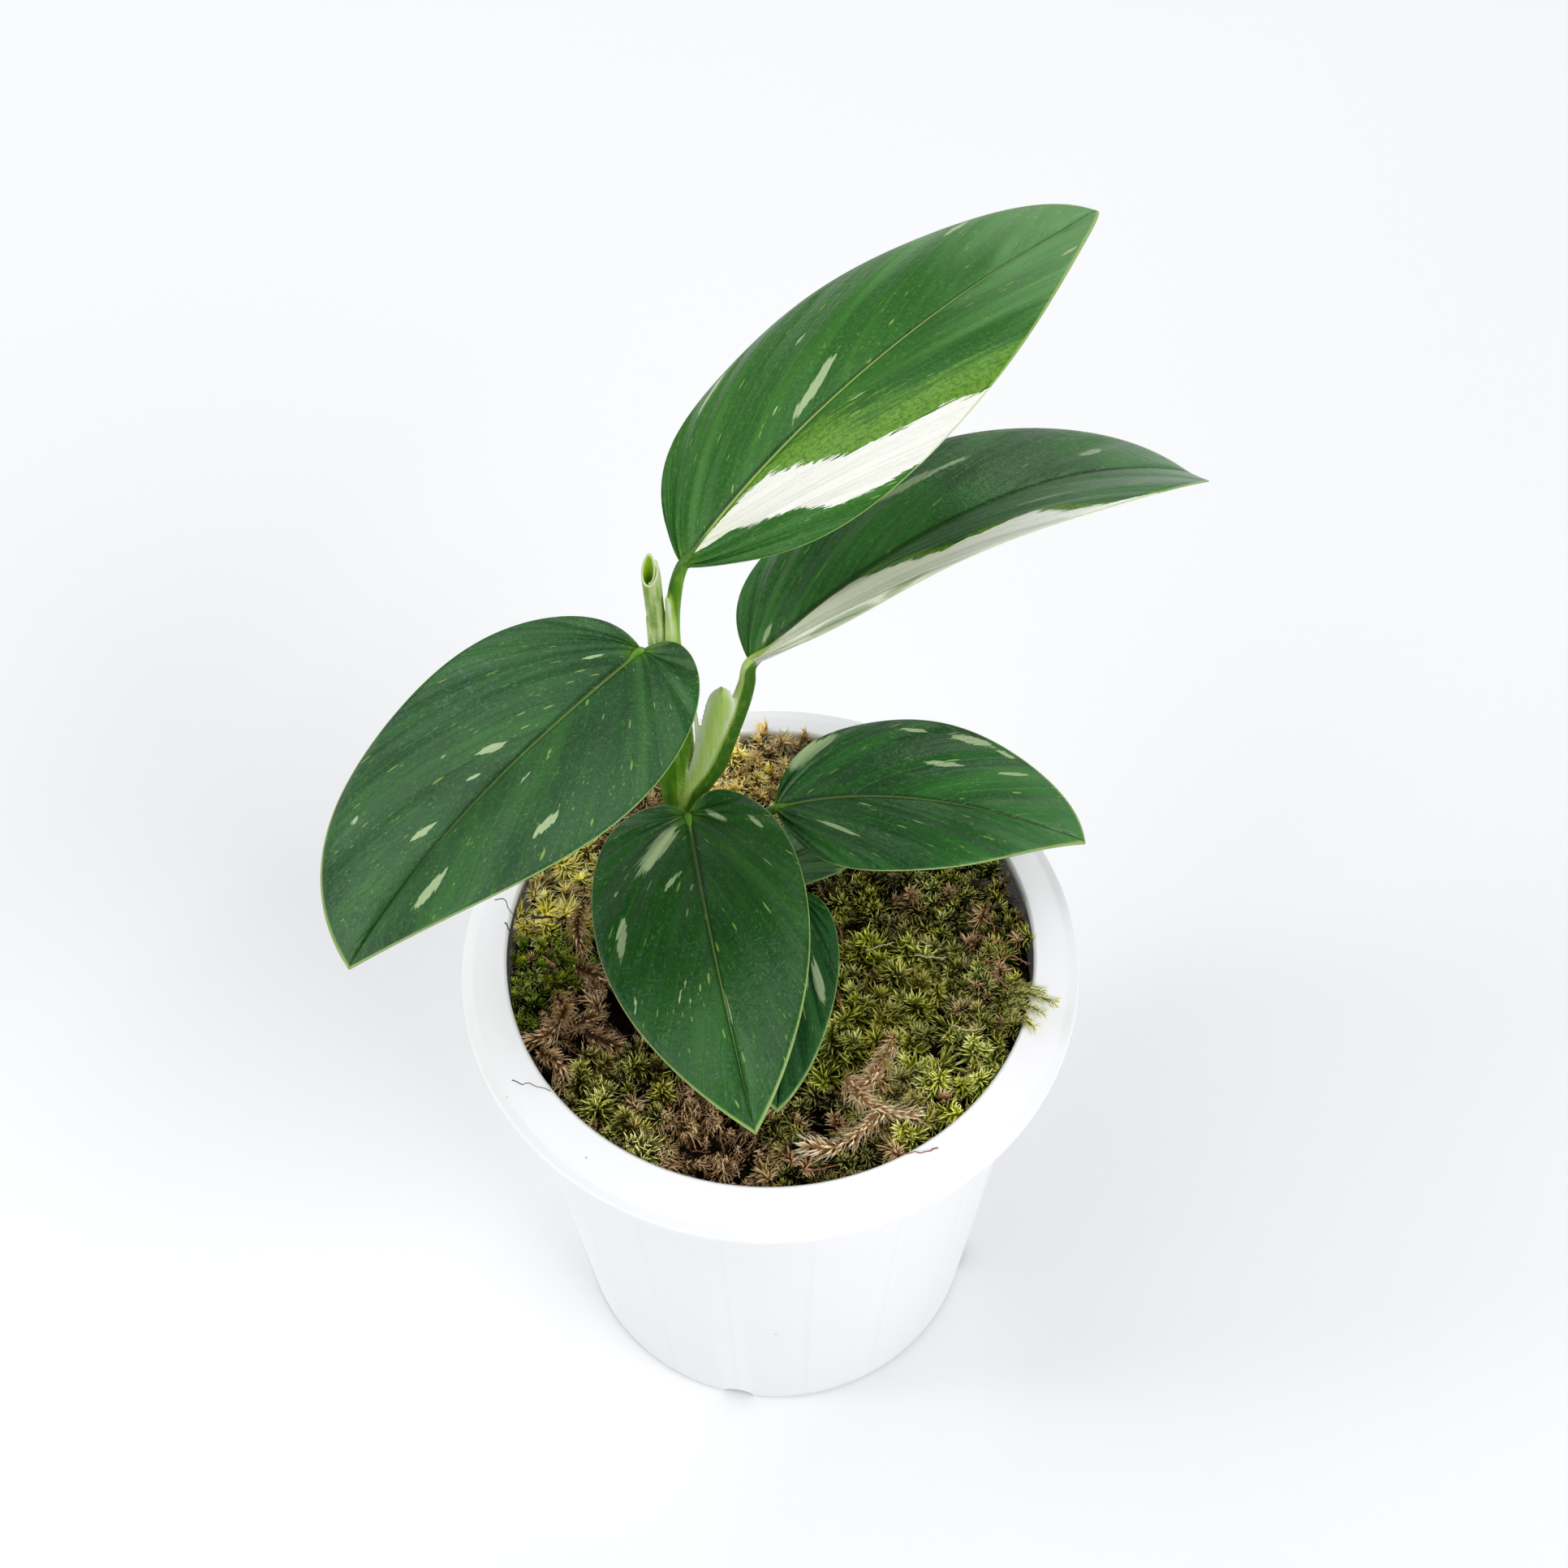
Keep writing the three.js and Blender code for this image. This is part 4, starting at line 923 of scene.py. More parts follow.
def paint_tones(mesh, guide):
    """Gives each point of a mesh the mean tone of the guide points near it."""
    tree = kdtree.KDTree(len(guide))
    for i, (p, _) in enumerate(guide):
        tree.insert(Vector(p) * MM, i)
    tree.balance()
    tones = []
    for vertex in mesh.vertices:
        near = [(guide[i][1], 1 / (d + 0.0001) ** 2) for _, i, d in tree.find_n(vertex.co, GUIDES_READ)]
        total = sum(weight for _, weight in near)
        tones.append([sum(tone[k] * weight for tone, weight in near) / total for k in (0, 1)])
    for key, values in zip(("pale", "dark"), zip(*tones)):
        add_values(mesh, key, values)


def stem_material(settings):
    """Green skin with fine lengthwise lines, whitish on the sheaths and along one edge."""
    material, w, shader = new_material("petiole skin")
    place = object_coordinates(w)
    lines = w.stretched(place, (1700.0, 1700.0, 45.0), 3, 0.6)
    mottle = w.noise(w.vector("MULTIPLY", place, (1.0, 1.0, 0.5)), 700, 3)
    pale, dark = w.attribute("pale"), w.attribute("dark")
    pale = w.scale_add(w.centred(lines), 0.5, pale)
    green = w.mix(w.step(lines, 0.3, 0.7), tuple(settings.colour), "5c8e16")
    green = w.tint(green, w.step(dark, 0.1, 0.8), 0.85, "35601a")
    colour = w.mix(w.step(pale, 0.2, 0.85), green, "abca5c")
    colour = w.mix(w.step(pale, 0.85, 1.35), colour, "dce6c8")
    colour = w.tint(colour, w.step(mottle, 0.5, 0.75), 0.25, "a2bc58")
    connect(w, shader, Base_Color=colour, Normal=w.bump(w.math("ADD", lines, mottle), 0.5, 0.0002))
    connect(w, shader, Roughness=0.4, Specular_IOR_Level=0.35)
    connect(w, shader, Subsurface_Weight=0.1, Subsurface_Scale=0.002, Subsurface_Radius=(0.5, 1, 0.2))
    return material


# New leaf

SCROLL = dict(
    foot=(-21.4, 35.7, 188.4), head=(-22.4, 36.7, 214.0), foot_radius=1.35, head_radius=1.5,
    turns=1.35, foot_spread=0.75, head_spread=0.9, thickness=0.4, mouth_drop=6.6, mouth_side=250,
    taper_from=0.72, taper=0.4, waist=0.35, around=120, steps=44,
)


def scroll_piece():
    """The newest leaf, rolled into a scroll with a slanting mouth."""
    s = SCROLL
    foot, head = np.array(s["foot"], float), np.array(s["head"], float)
    height = np.linalg.norm(head - foot)
    along = (head - foot) / height
    right = np.array([1.0, 0, 0]) - along[0] * along
    right /= np.linalg.norm(right)
    back = np.cross(along, right)
    around, steps = s["around"], s["steps"]
    lap = np.linspace(0, 1, around + 1)[:, None]
    t = np.linspace(0, 1, steps + 1)[None]
    mouth = math.radians(s["mouth_side"])
    angle = 2 * math.pi * s["turns"] * lap + mouth
    out = np.cos(angle)[..., None] * right + np.sin(angle)[..., None] * back
    drop = s["mouth_drop"] * (1 + np.cos(angle - mouth)) / 2
    climb = t * (height - drop)
    growth = s["foot_spread"] + (s["head_spread"] - s["foot_spread"]) * t
    radius = s["foot_radius"] + (s["head_radius"] - s["foot_radius"]) * t + growth * (lap - 0.5)
    radius = radius * (1 - s["waist"] * np.clip(1 - t * 6, 0, 1))
    closing = np.clip((climb / height - s["taper_from"]) / (1 - s["taper_from"]), 0, 1)
    radius = radius * (1 - s["taper"] * closing**2)
    middle = foot + along * climb[..., None]
    half = s["thickness"] / 2
    outer = (middle + out * (radius + half)[..., None]).reshape(-1, 3)
    inner = (middle + out * (radius - half)[..., None]).reshape(-1, 3)
    up = np.broadcast_to(t, (around + 1, steps + 1)).ravel()
    attributes = {"inside": np.repeat([0, 1], len(outer)), "height": np.concatenate([up, up])}
    piece = mesh_piece(
        "new_leaf_roll_fine", np.vstack([outer, inner]) * MM, shell_faces(around + 1, steps + 1),
        scroll_material(), attributes,
    )
    turn_outward(piece.data)
    return piece


def scroll_material():
    """Pale young skin with greener lines, darker in the roll, painted shade down its far left side, and
    a light rim at its mouth.
    """
    material, w, shader = new_material("young leaf skin")
    place = object_coordinates(w)
    lines = w.stretched(place, (1300.0, 1300.0, 90.0), 2)
    spots = w.noise(place, 900, 2)
    colour = w.mix(w.step(lines, 0.35, 0.65), "8cac50", "bcd08c")
    colour = w.tint(colour, w.step(spots, 0.5, 0.7), 0.4, "c9d8b4")
    across = w.add("ShaderNodeSeparateXYZ", {0: place}).outputs[0]
    # Painted shade down the far left side of the scroll
    left = w.fade(across, -0.0243, -0.0231)
    colour = w.tint(colour, left, 0.6, "53842c")
    colour = w.mix(w.attribute("inside"), colour, "9cc02c")
    rim = w.step(w.attribute("height"), 0.97, 0.985)
    colour = w.tint(colour, rim, 0.75, "d5deb0")
    connect(w, shader, Base_Color=colour, Normal=w.bump(lines, 0.3, 0.0002))
    connect(w, shader, Roughness=0.4, Specular_IOR_Level=0.35)
    connect(w, shader, Subsurface_Weight=0.12, Subsurface_Scale=0.002, Subsurface_Radius=(0.5, 1, 0.2))
    return material


# Moss

# One row per clump: its kind of shoot, the distance between shoots and their size in
# millimetres, how far they lean, how many are crowded on one spot, how much those beside the
# wall lean inwards, where less than nothing is outwards, its three colours from root to tip,
# and the share that is dead and brown.
MOSS = {
    "moss_cushion_left": ("needle", 1.15, 3.9, 0.55, 1, -0.4, "142402", "7c9c06", "f8ee7c", 0.04),
    "moss_left_back": ("plume", 3.6, 8.0, 0.5, 2, -0.2, "4a300c", "ecdc60", "fdf6cc", 0.12),
    "moss_back_left": ("plume", 3.4, 7.2, 0.6, 2, -0.2, "3a220e", "b89848", "f4e2a4", 0.3),
    "moss_back": ("plume", 3.3, 7.6, 0.7, 2, -0.2, "5c3c12", "f8dc84", "fdf4c8", 0.16),
    "moss_brown_left": ("wither", 3.8, 6.8, 1.3, 3, -0.2, "1c0e07", "b8905c", "f8dcb0", 1.0),
    "moss_front_left": ("plume", 3.8, 9.0, 0.5, 2, -0.15, "080601", "565404", "faf08a", 0.08),
    "moss_brown_front": ("wither", 3.4, 6.6, 1.0, 3, -0.15, "22150a", "84602a", "fadc98", 0.6),
    "moss_front": ("plume", 3.6, 8.2, 0.6, 2, -0.15, "060601", "383808", "f2ea74", 0.16),
    "moss_front_right": ("plume", 3.9, 9.4, 0.5, 2, -0.15, "202202", "94961e", "fdf8a8", 0.08),
    "moss_right_stars": ("plume", 4.0, 9.8, 0.45, 2, -0.2, "101001", "747a08", "fdf888", 0.05),
    "moss_right_edge": ("plume", 3.2, 7.6, 0.7, 2, -0.35, "1a1402", "5c660c", "f8f488", 0.14),
    "moss_right_back": ("plume", 3.4, 7.8, 0.6, 2, -0.4, "060701", "2a3402", "f4ee74", 0.1),
    "moss_back_right": ("plume", 3.4, 7.4, 0.6, 2, -0.3, "1c190b", "706c1a", "f0e88a", 0.3),
    "moss_centre": ("wither", 3.8, 5.6, 1.2, 2, 0, "120c07", "664a2c", "b4925e", 0.9),
}
MOSS_BED_DROP = 3.2  # how far the bed lies under the clumps' own surface, to leave room for shoots
MOSS_BED_FOOT = 116  # the sides of a clump below this height stay where they are
WALL_REACH = 6  # how far from the wall shoots still lean by it
WALL_FACE = 54.8  # how far out leaf tips can reach below the mouth's edge
MOUTH_EDGE = 128.6

# Painted shade: the lower part of each moss leaf is darkened, as among crowded shoots
SHADED_LEAF = 0.26  # brightness of a leaf's lower part, as a share of its upper part's
SHOOT_VARIANTS = 3
GOLDEN_ANGLE = 2.39996  # radians between one leaf of a spiral and the next
SHOOT_LEAVES = {"plume": 54, "needle": 34, "wither": 34}
SHOOT_FORMS = {
    # Length of the leafy axis, leaf length and width, the leaves' angle to the axis at its
    # foot and head, and how far they curve outwards, all for a shoot one unit high
    "plume": (0.52, 0.46, 0.05, 74, 12, 24),
    "needle": (0.5, 0.5, 0.05, 62, 8, 6),
    "wither": (0.7, 0.5, 0.044, 70, 40, -95),
}


def add_leaf(points, faces, start, mid, tip, root_half, half):
    """Adds a narrow pointed leaf, given half its breadth at its root and at its middle."""
    k = len(points)
    points += [start - root_half, start + root_half, mid + half, mid - half, tip]
    faces += [(k, k + 1, k + 2, k + 3), (k + 3, k + 2, k + 4)]


def loose_shape(name, points, faces, material, grown=None):
    """An object that is only there to be set down many times."""
    mesh = bpy.data.meshes.new(name)
    mesh.from_pydata([tuple(p) for p in points], [], faces)
    if grown:
        add_values(mesh, "grown", grown)
    mesh.materials.append(material)
    return bpy.data.objects.new(name, mesh)


def shoot_shape(kind, variant, material):
    """One moss shoot, a unit high: narrow arched leaves in a spiral up a short curved axis."""
    axis, length, width, foot_angle, head_angle, arch = SHOOT_FORMS[kind]
    draw = np.random.default_rng(100 * variant + len(kind))
    bow = draw.uniform(0.15, 0.4)
    points, faces, root_to_tip = [], [], []
    leaves = SHOOT_LEAVES[kind]
    for i in range(leaves):
        share = (i + 0.5) / leaves
        turn = i * GOLDEN_ANGLE + draw.uniform(-0.4, 0.4)
        angle = math.radians(foot_angle + (head_angle - foot_angle) * share + draw.uniform(-10, 10))
        size = length * (1.1 - 0.35 * share) * draw.uniform(0.8, 1.2)
        arc = math.radians(arch + draw.uniform(-22, 22))
        out = np.array([math.cos(turn), math.sin(turn), 0])
        across = np.array([-math.sin(turn), math.cos(turn), 0])
        up = np.array([0, 0, 1])
        start = np.array([bow * share**2, 0, 0.12 + axis * share])
        mid = start + (out * math.sin(angle) + up * math.cos(angle)) * size * 0.55
        tip = mid + (out * math.sin(angle + arc) + up * math.cos(angle + arc)) * size * 0.5
        half = across * (width * draw.uniform(0.8, 1.2) / 2)
        add_leaf(points, faces, start, mid, tip, half * 0.7, half)
        inner = 0.25 * share
        root_to_tip += [inner, inner, 0.5 + inner, 0.5 + inner, 1.0]
    return loose_shape(f"{kind} shoot {variant}", points, faces, material, root_to_tip)


def straw_shape(material):
    """One bent bit of straw or bark, a unit long."""
    line = [(-0.5, 0, 0), (-0.15, 0.05, 0.04), (0.2, -0.02, 0.02), (0.5, 0.1, -0.03)]
    points, faces = tube(line, 0.045, 0.045, 3, (0, 0, 1))
    return loose_shape("straw", points, faces, material)


def tree_with_inputs(name, inputs):
    """A geometry tree with its group sockets, its wiring and its given values."""
    tree = bpy.data.node_groups.new(name, "GeometryNodeTree")
    tree.interface.new_socket("Geometry", in_out="INPUT", socket_type="NodeSocketGeometry")
    for label, kind, value in inputs:
        socket = tree.interface.new_socket(label, in_out="INPUT", socket_type="NodeSocket" + kind)
        if value is not None:
            socket.default_value = value
    tree.interface.new_socket("Geometry", in_out="OUTPUT", socket_type="NodeSocketGeometry")
    w = Wiring(tree)
    return tree, w, w.add("NodeGroupInput").outputs


def random_value(w, seed, offset, low, high, data_type="FLOAT"):
    """A repeatable random value for each element."""
    first = {"FLOAT_VECTOR": 0, "FLOAT": 2, "INT": 4}[data_type]
    node = w.add(
        "FunctionNodeRandomValue",
        {first: low, first + 1: high, "Seed": w.math("ADD", seed, offset)},
        data_type=data_type,
    )
    return node.outputs[first // 2]


def stored(w, geometry, name, value, domain):
    """Keeps a value with the geometry, for a material to read."""
    node = w.add(
        "GeometryNodeStoreNamedAttribute",
        {"Geometry": geometry, "Name": name, "Value": value},
        data_type="FLOAT", domain=domain,
    )
    return node.outputs[0]


def in_material(w, geometry, material):
    """A geometry with its material set."""
    inputs = {"Geometry": geometry, "Material": material}
    return w.add("GeometryNodeSetMaterial", inputs).outputs[0]


def set_down(w, seed, offset, inputs):
    """Instances on points, each with a tint of its own."""
    placed = w.add("GeometryNodeInstanceOnPoints", inputs)
    tint = random_value(w, seed, offset, 0.0, 1.0)
    return stored(w, placed.outputs[0], "tint", tint, "INSTANCE")


def clump_tree():
    """Geometry nodes that grow shoots on a clump's bed and strew bits of straw over it."""
    tree, w, given = tree_with_inputs("Moss clump", (
        ("Shoots", "Collection", None), ("Shoot material", "Material", None),
        ("Straw", "Object", None), ("Straw material", "Material", None),
        ("Bed material", "Material", None), ("Spacing", "Float", 0.003), ("Crowd", "Int", 3),
        ("Shoot size", "Float", 0.006), ("Lean", "Float", 0.7), ("Wall lean", "Float", 0.6),
        ("Wall radius", "Float", 0.0535), ("Bed drop", "Float", 0.003),
        ("Bed unevenness", "Float", 0.0012), ("Straw density", "Float", 20000.0), ("Seed", "Int", 1),
    ))
    place = w.add("GeometryNodeInputPosition").outputs[0]
    bed = clump_bed(w, given, place)
    normal = w.add("GeometryNodeInputNormal").outputs[0]
    upright = w.add("ShaderNodeSeparateXYZ", {0: normal}).outputs[2]
    upward = w.math("GREATER_THAN", upright, 0.2)
    both = w.add("GeometryNodeJoinGeometry")
    for part in (
        clump_straw(w, given, bed, upward),
        clump_shoots(w, given, bed, upward, place),
        in_material(w, bed, given["Bed material"]),
    ):
        w.tree.links.new(part, both.inputs[0])
    w.add("NodeGroupOutput", {0: both.outputs[0]})
    return tree


def clump_bed(w, given, place):
    """The clump's own surface, lowered and roughened."""
    bed = w.add("GeometryNodeMergeByDistance", {"Geometry": given["Geometry"], "Distance": 0.00001})
    bed = w.add("GeometryNodeSubdivideMesh", {"Mesh": bed.outputs[0], "Level": 1})
    rough = w.add("ShaderNodeTexNoise", {"Vector": place, "Scale": 260.0, "Detail": 2.0})
    lift = w.times(w.centred(rough.outputs[0]), given["Bed unevenness"])
    lift = w.math("SUBTRACT", w.times(lift, 2.0), given["Bed drop"])
    height = w.add("ShaderNodeSeparateXYZ", {0: place}).outputs[2]
    raised = w.math("GREATER_THAN", height, MOSS_BED_FOOT * MM)
    offset = w.add("ShaderNodeCombineXYZ", {2: w.times(lift, raised)})
    bed = w.add(
        "GeometryNodeSetPosition", {"Geometry": bed.outputs[0], "Offset": offset.outputs[0]}
    )
    smooth = {"Geometry": bed.outputs[0], "Shade Smooth": True}
    return w.add("GeometryNodeSetShadeSmooth", smooth).outputs[0]


def clump_shoots(w, given, bed, upward, place):
    """Evenly spread tufts of a few shoots that lean their own way, and another near the wall."""
    seed = given["Seed"]
    points = w.add(
        "GeometryNodeDistributePointsOnFaces",
        {"Mesh": bed, "Selection": upward, "Distance Min": given["Spacing"],
         "Density Max": 500000.0, "Seed": seed},
        distribute_method="POISSON",
    )
    kept = stored(w, points.outputs["Points"], "tuft", random_value(w, seed, 7, 0.0, 1.0), "POINT")
    crowd = w.add(
        "GeometryNodeDuplicateElements", {"Geometry": kept, "Amount": given["Crowd"]}, domain="POINT"
    )
    flat = w.vector("MULTIPLY", place, (1, 1, 0))
    out = w.add("ShaderNodeVectorMath", {0: flat}, operation="LENGTH").outputs["Value"]
    from_wall = w.math("SUBTRACT", given["Wall radius"], out)
    near_wall = w.math("SUBTRACT", 1, w.math("DIVIDE", from_wall, WALL_REACH * MM), clamp=True)
    tilt = w.times(w.times(near_wall, given["Wall lean"]), -1)
    inward = w.scaled(w.vector("NORMALIZE", flat), tilt)
    stray = random_value(w, seed, 1, (-1, -1, -0.4), (1, 1, 1), "FLOAT_VECTOR")
    aim = w.vector("ADD", w.scaled(points.outputs["Normal"], 0.35), (0, 0, 0.8))
    aim = w.vector("ADD", aim, w.scaled(stray, given["Lean"]))
    aim = w.vector("ADD", aim, inward)
    turn = random_value(w, seed, 2, (0, 0, 0), (0, 0, 2 * math.pi), "FLOAT_VECTOR")
    spin = w.add("FunctionNodeEulerToRotation", {0: turn})
    facing = w.add(
        "FunctionNodeAlignRotationToVector", {"Rotation": spin.outputs[0], "Vector": aim}, axis="Z"
    )
    size = w.times(random_value(w, seed, 3, 0.68, 1.15), given["Shoot size"])
    shapes = w.add(
        "GeometryNodeCollectionInfo",
        {"Collection": given["Shoots"], "Separate Children": True, "Reset Children": True},
    )
    shoots = set_down(w, seed, 5, {
        "Points": crowd.outputs[0], "Instance": shapes.outputs[0], "Pick Instance": True,
        "Instance Index": random_value(w, seed, 4, 0, SHOOT_VARIANTS - 1, "INT"),
        "Rotation": facing.outputs[0], "Scale": size,
    })
    real = w.add("GeometryNodeRealizeInstances", {0: shoots})
    return in_material(w, real.outputs[0], given["Shoot material"])


def clump_straw(w, given, bed, upward):
    """Straw strewn at random and lying nearly flat on the shoots."""
    seed = given["Seed"]
    strewn = w.add(
        "GeometryNodeDistributePointsOnFaces",
        {"Mesh": bed, "Selection": upward, "Density": given["Straw density"],
         "Seed": w.math("ADD", seed, 9)},
        distribute_method="RANDOM",
    )
    rise = random_value(w, seed, 10, (0, 0, 0.0015), (0, 0, 0.0042), "FLOAT_VECTOR")
    lifted = w.add("GeometryNodeSetPosition", {"Geometry": strewn.outputs["Points"], "Offset": rise})
    lie = random_value(w, seed, 11, (-0.5, -0.5, 0), (0.5, 0.5, 2 * math.pi), "FLOAT_VECTOR")
    straw = w.add(
        "GeometryNodeObjectInfo", {"Object": given["Straw"], "As Instance": True},
        transform_space="ORIGINAL",
    )
    bits = set_down(w, seed, 13, {
        "Points": lifted.outputs[0], "Instance": straw.outputs["Geometry"], "Rotation": lie,
        "Scale": random_value(w, seed, 12, 0.0015, 0.0042),
    })
    real = w.add("GeometryNodeRealizeInstances", {0: bits})
    return in_material(w, real.outputs[0], given["Straw material"])


def set_inputs(piece, tree, values):
    """Puts a node tree on a piece with its inputs set by name."""
    modifier = piece.modifiers.new(tree.name, "NODES")
    modifier.node_group = tree
    for item in tree.interface.items_tree:
        if item.item_type == "SOCKET" and item.in_out == "INPUT" and item.name in values:
            modifier[item.identifier] = values[item.name]


def grow(piece, tree, values):
    """Runs a node tree on a piece and keeps the plain mesh."""
    set_inputs(piece, tree, values)
    return baked(piece)


def moss_material(name, root, leaf, tip, dead):
    """Thin moss leaves: dark at the root, with painted shade on their lower part, paler at the tip, each
    shoot a little different.
    """
    material, w, shader = new_material(name + " shoots")
    grown, tint, tuft = (w.attribute(key) for key in ("grown", "tint", "tuft"))
    shaded = tuple(SHADED_LEAF * part for part in linear(leaf)[:3]) + (1.0,)
    fresh = w.ramp(grown, ((0.1, root), (0.44, shaded), (0.72, leaf), (0.98, tip)))
    hue = w.add("ShaderNodeHueSaturation", {
        "Hue": w.scale_add(tuft, 0.04, 0.48),
        "Saturation": w.scale_add(tint, 0.3, 0.85),
        "Value": w.scale_add(tuft, 0.9, 0.75),
        "Color": fresh,
    })
    tired = w.ramp(grown, (
        (0.1, "1e1108"), (0.4, "5a3c24"), (0.64, "b0804c"),
        (0.9, "f0d6a8"),
    ))
    colour = w.mix(w.step(tint, 0.98 - dead, 1.02 - dead), hue.outputs[0], tired)
    connect(w, shader, Base_Color=colour, Roughness=0.5, Specular_IOR_Level=0.26)
    return material


def straw_material():
    """Bits of straw, bark and rootlets, from black through pinkish brown to cream."""
    material, w, shader = new_material("straw and bark bits")
    colour = w.ramp(w.attribute("tint"), (
        (0.0, "2a1814"), (0.3, "7a4a38"), (0.55, "b07c5e"),
        (0.8, "d0b088"), (1.0, "efe6cc"),
    ))
    connect(w, shader, Base_Color=colour, Roughness=0.7)
    return material


def bed_material():
    """Dark, fibrous litter under the shoots."""
    material, w, shader = new_material("moss litter")
    place = object_coordinates(w)
    fibre = w.stretched(place, (900.0, 300.0, 500.0), 4, 0.7)
    patch = w.noise(place, 150, 3)
    colour = w.ramp(fibre, ((0.3, "0a0705"), (0.55, "1d120a"), (0.8, "4a331d")))
    colour = w.tint(colour, w.step(patch, 0.5, 0.7), 0.4, "1d1f0a")
    connect(w, shader, Base_Color=colour, Normal=w.bump(fibre, 0.9, 0.0012))
    connect(w, shader, Roughness=0.9, Specular_IOR_Level=0.2)
    return material


def press_on_wall(mesh):
    """Lays leaf tips that would pierce the pot's wall against its inner face."""
    places = np.empty(len(mesh.vertices) * 3, np.float32)
    mesh.vertices.foreach_get("co", places)
    places = places.reshape(-1, 3)
    out = np.hypot(places[:, 0], places[:, 1])
    piercing = (out > WALL_FACE * MM) & (places[:, 2] < MOUTH_EDGE * MM)
    places[piercing, :2] *= (WALL_FACE * MM / out[piercing])[:, None]
    mesh.vertices.foreach_set("co", places.ravel())
    mesh.update()


def moss_pieces(settings):
    """A finer piece for every clump, each with its own shoots."""
    tree = clump_tree()
    litter, straw_paint = bed_material(), straw_material()
    straw = straw_shape(straw_paint)
    kinds = {}
    for number, (node, row) in enumerate(MOSS.items()):
        kind, spacing, size, lean, crowd, wall_lean, *colours = row
        material = moss_material(node, *colours)
        if kind not in kinds:
            kinds[kind] = bpy.data.collections.new(kind + " shoots")
            for variant in range(SHOOT_VARIANTS):
                kinds[kind].objects.link(shoot_shape(kind, variant, material))
        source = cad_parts[node].data.copy()
        source.materials.clear()
        piece = bpy.data.objects.new(node + "_fine", source)
        bpy.context.scene.collection.objects.link(piece)
        grow(piece, tree, {
            "Shoots": kinds[kind], "Shoot material": material, "Bed material": litter,
            "Straw": straw, "Straw material": straw_paint,
            "Spacing": spacing * MM / settings.density, "Crowd": crowd,
            "Shoot size": size * MM * settings.shoot_scale, "Lean": lean, "Wall lean": wall_lean,
            "Bed drop": MOSS_BED_DROP * MM, "Seed": 11 + number,
            "Straw density": settings.straw * 1e6,
        })
        press_on_wall(piece.data)
        finish_piece(piece, node, node)


# Dry fronds and litter

FRONDS = {
    "moss_dry_fronds": dict(
        routes=(
            ((15, -31, 128.6), (18, -36, 129), (24, -39.5, 128.6), (29, -40, 128)),
            ((25, -23.5, 128.8), (22, -29, 129), (17.6, -35.4, 129)),
            ((22.5, -38.8, 128.8), (18, -43, 127.6), (13, -46, 126.6), (7, -45.5, 126)),
        ),
        leaflet=4.4, step=0.9, stalk=0.35, colours=("c49860", "ffe6b8", "fff8e4"), seed=5,
    ),
    "moss_brown_left": dict(
        routes=(
            ((-44.4, -8.9, 125), (-42.9, -14.3, 127), (-45.4, -19.2, 127.5), (-50.3, -20, 125)),
            ((-41.3, -15.9, 125), (-38, -16, 127), (-36, -15.4, 128), (-35.5, -13.6, 128.5),
             (-37.6, -11.1, 127)),
            ((-39.6, 13.2, 126), (-40.5, 5.5, 128), (-39.3, 0.9, 127)),
            ((-40.4, -1.3, 124), (-37.5, -4.1, 126), (-34.1, -5.5, 125)),
            ((-47.8, -22.7, 125.5), (-44.2, -25.7, 127.5), (-42.6, -27.8, 126.5),
             (-42.9, -30.7, 125.5)),
            ((-38.4, -16.8, 123), (-34.8, -19.9, 125), (-31.2, -21.2, 124.5)),
        ),
        leaflet=4.0, step=1.1, stalk=0.3, colours=("543618", "dcb078", "fff0d0"), seed=8,
    ),
    "moss_right_edge": dict(
        routes=(
            ((49, -9.5, 128), (53, -11, 129.6), (56, -12, 129.2)),
            ((49, -12, 128.2), (53.5, -13, 130), (58.6, -14.4, 128.8)),
            ((48.5, -14.5, 128), (52.5, -15.6, 129.8), (56, -16.8, 128.8)),
            ((48, -17, 127.8), (51.5, -18.4, 129.4), (54, -20, 128.8)),
        ),
        leaflet=2.4, step=0.6, stalk=0.2, colours=("6c6a20", "d4d470", "fbf8c0"), seed=12,
    ),
}


LEAFLETS, STALK_STEPS = 9, 24  # leaflets in a ring, and points along a stalk


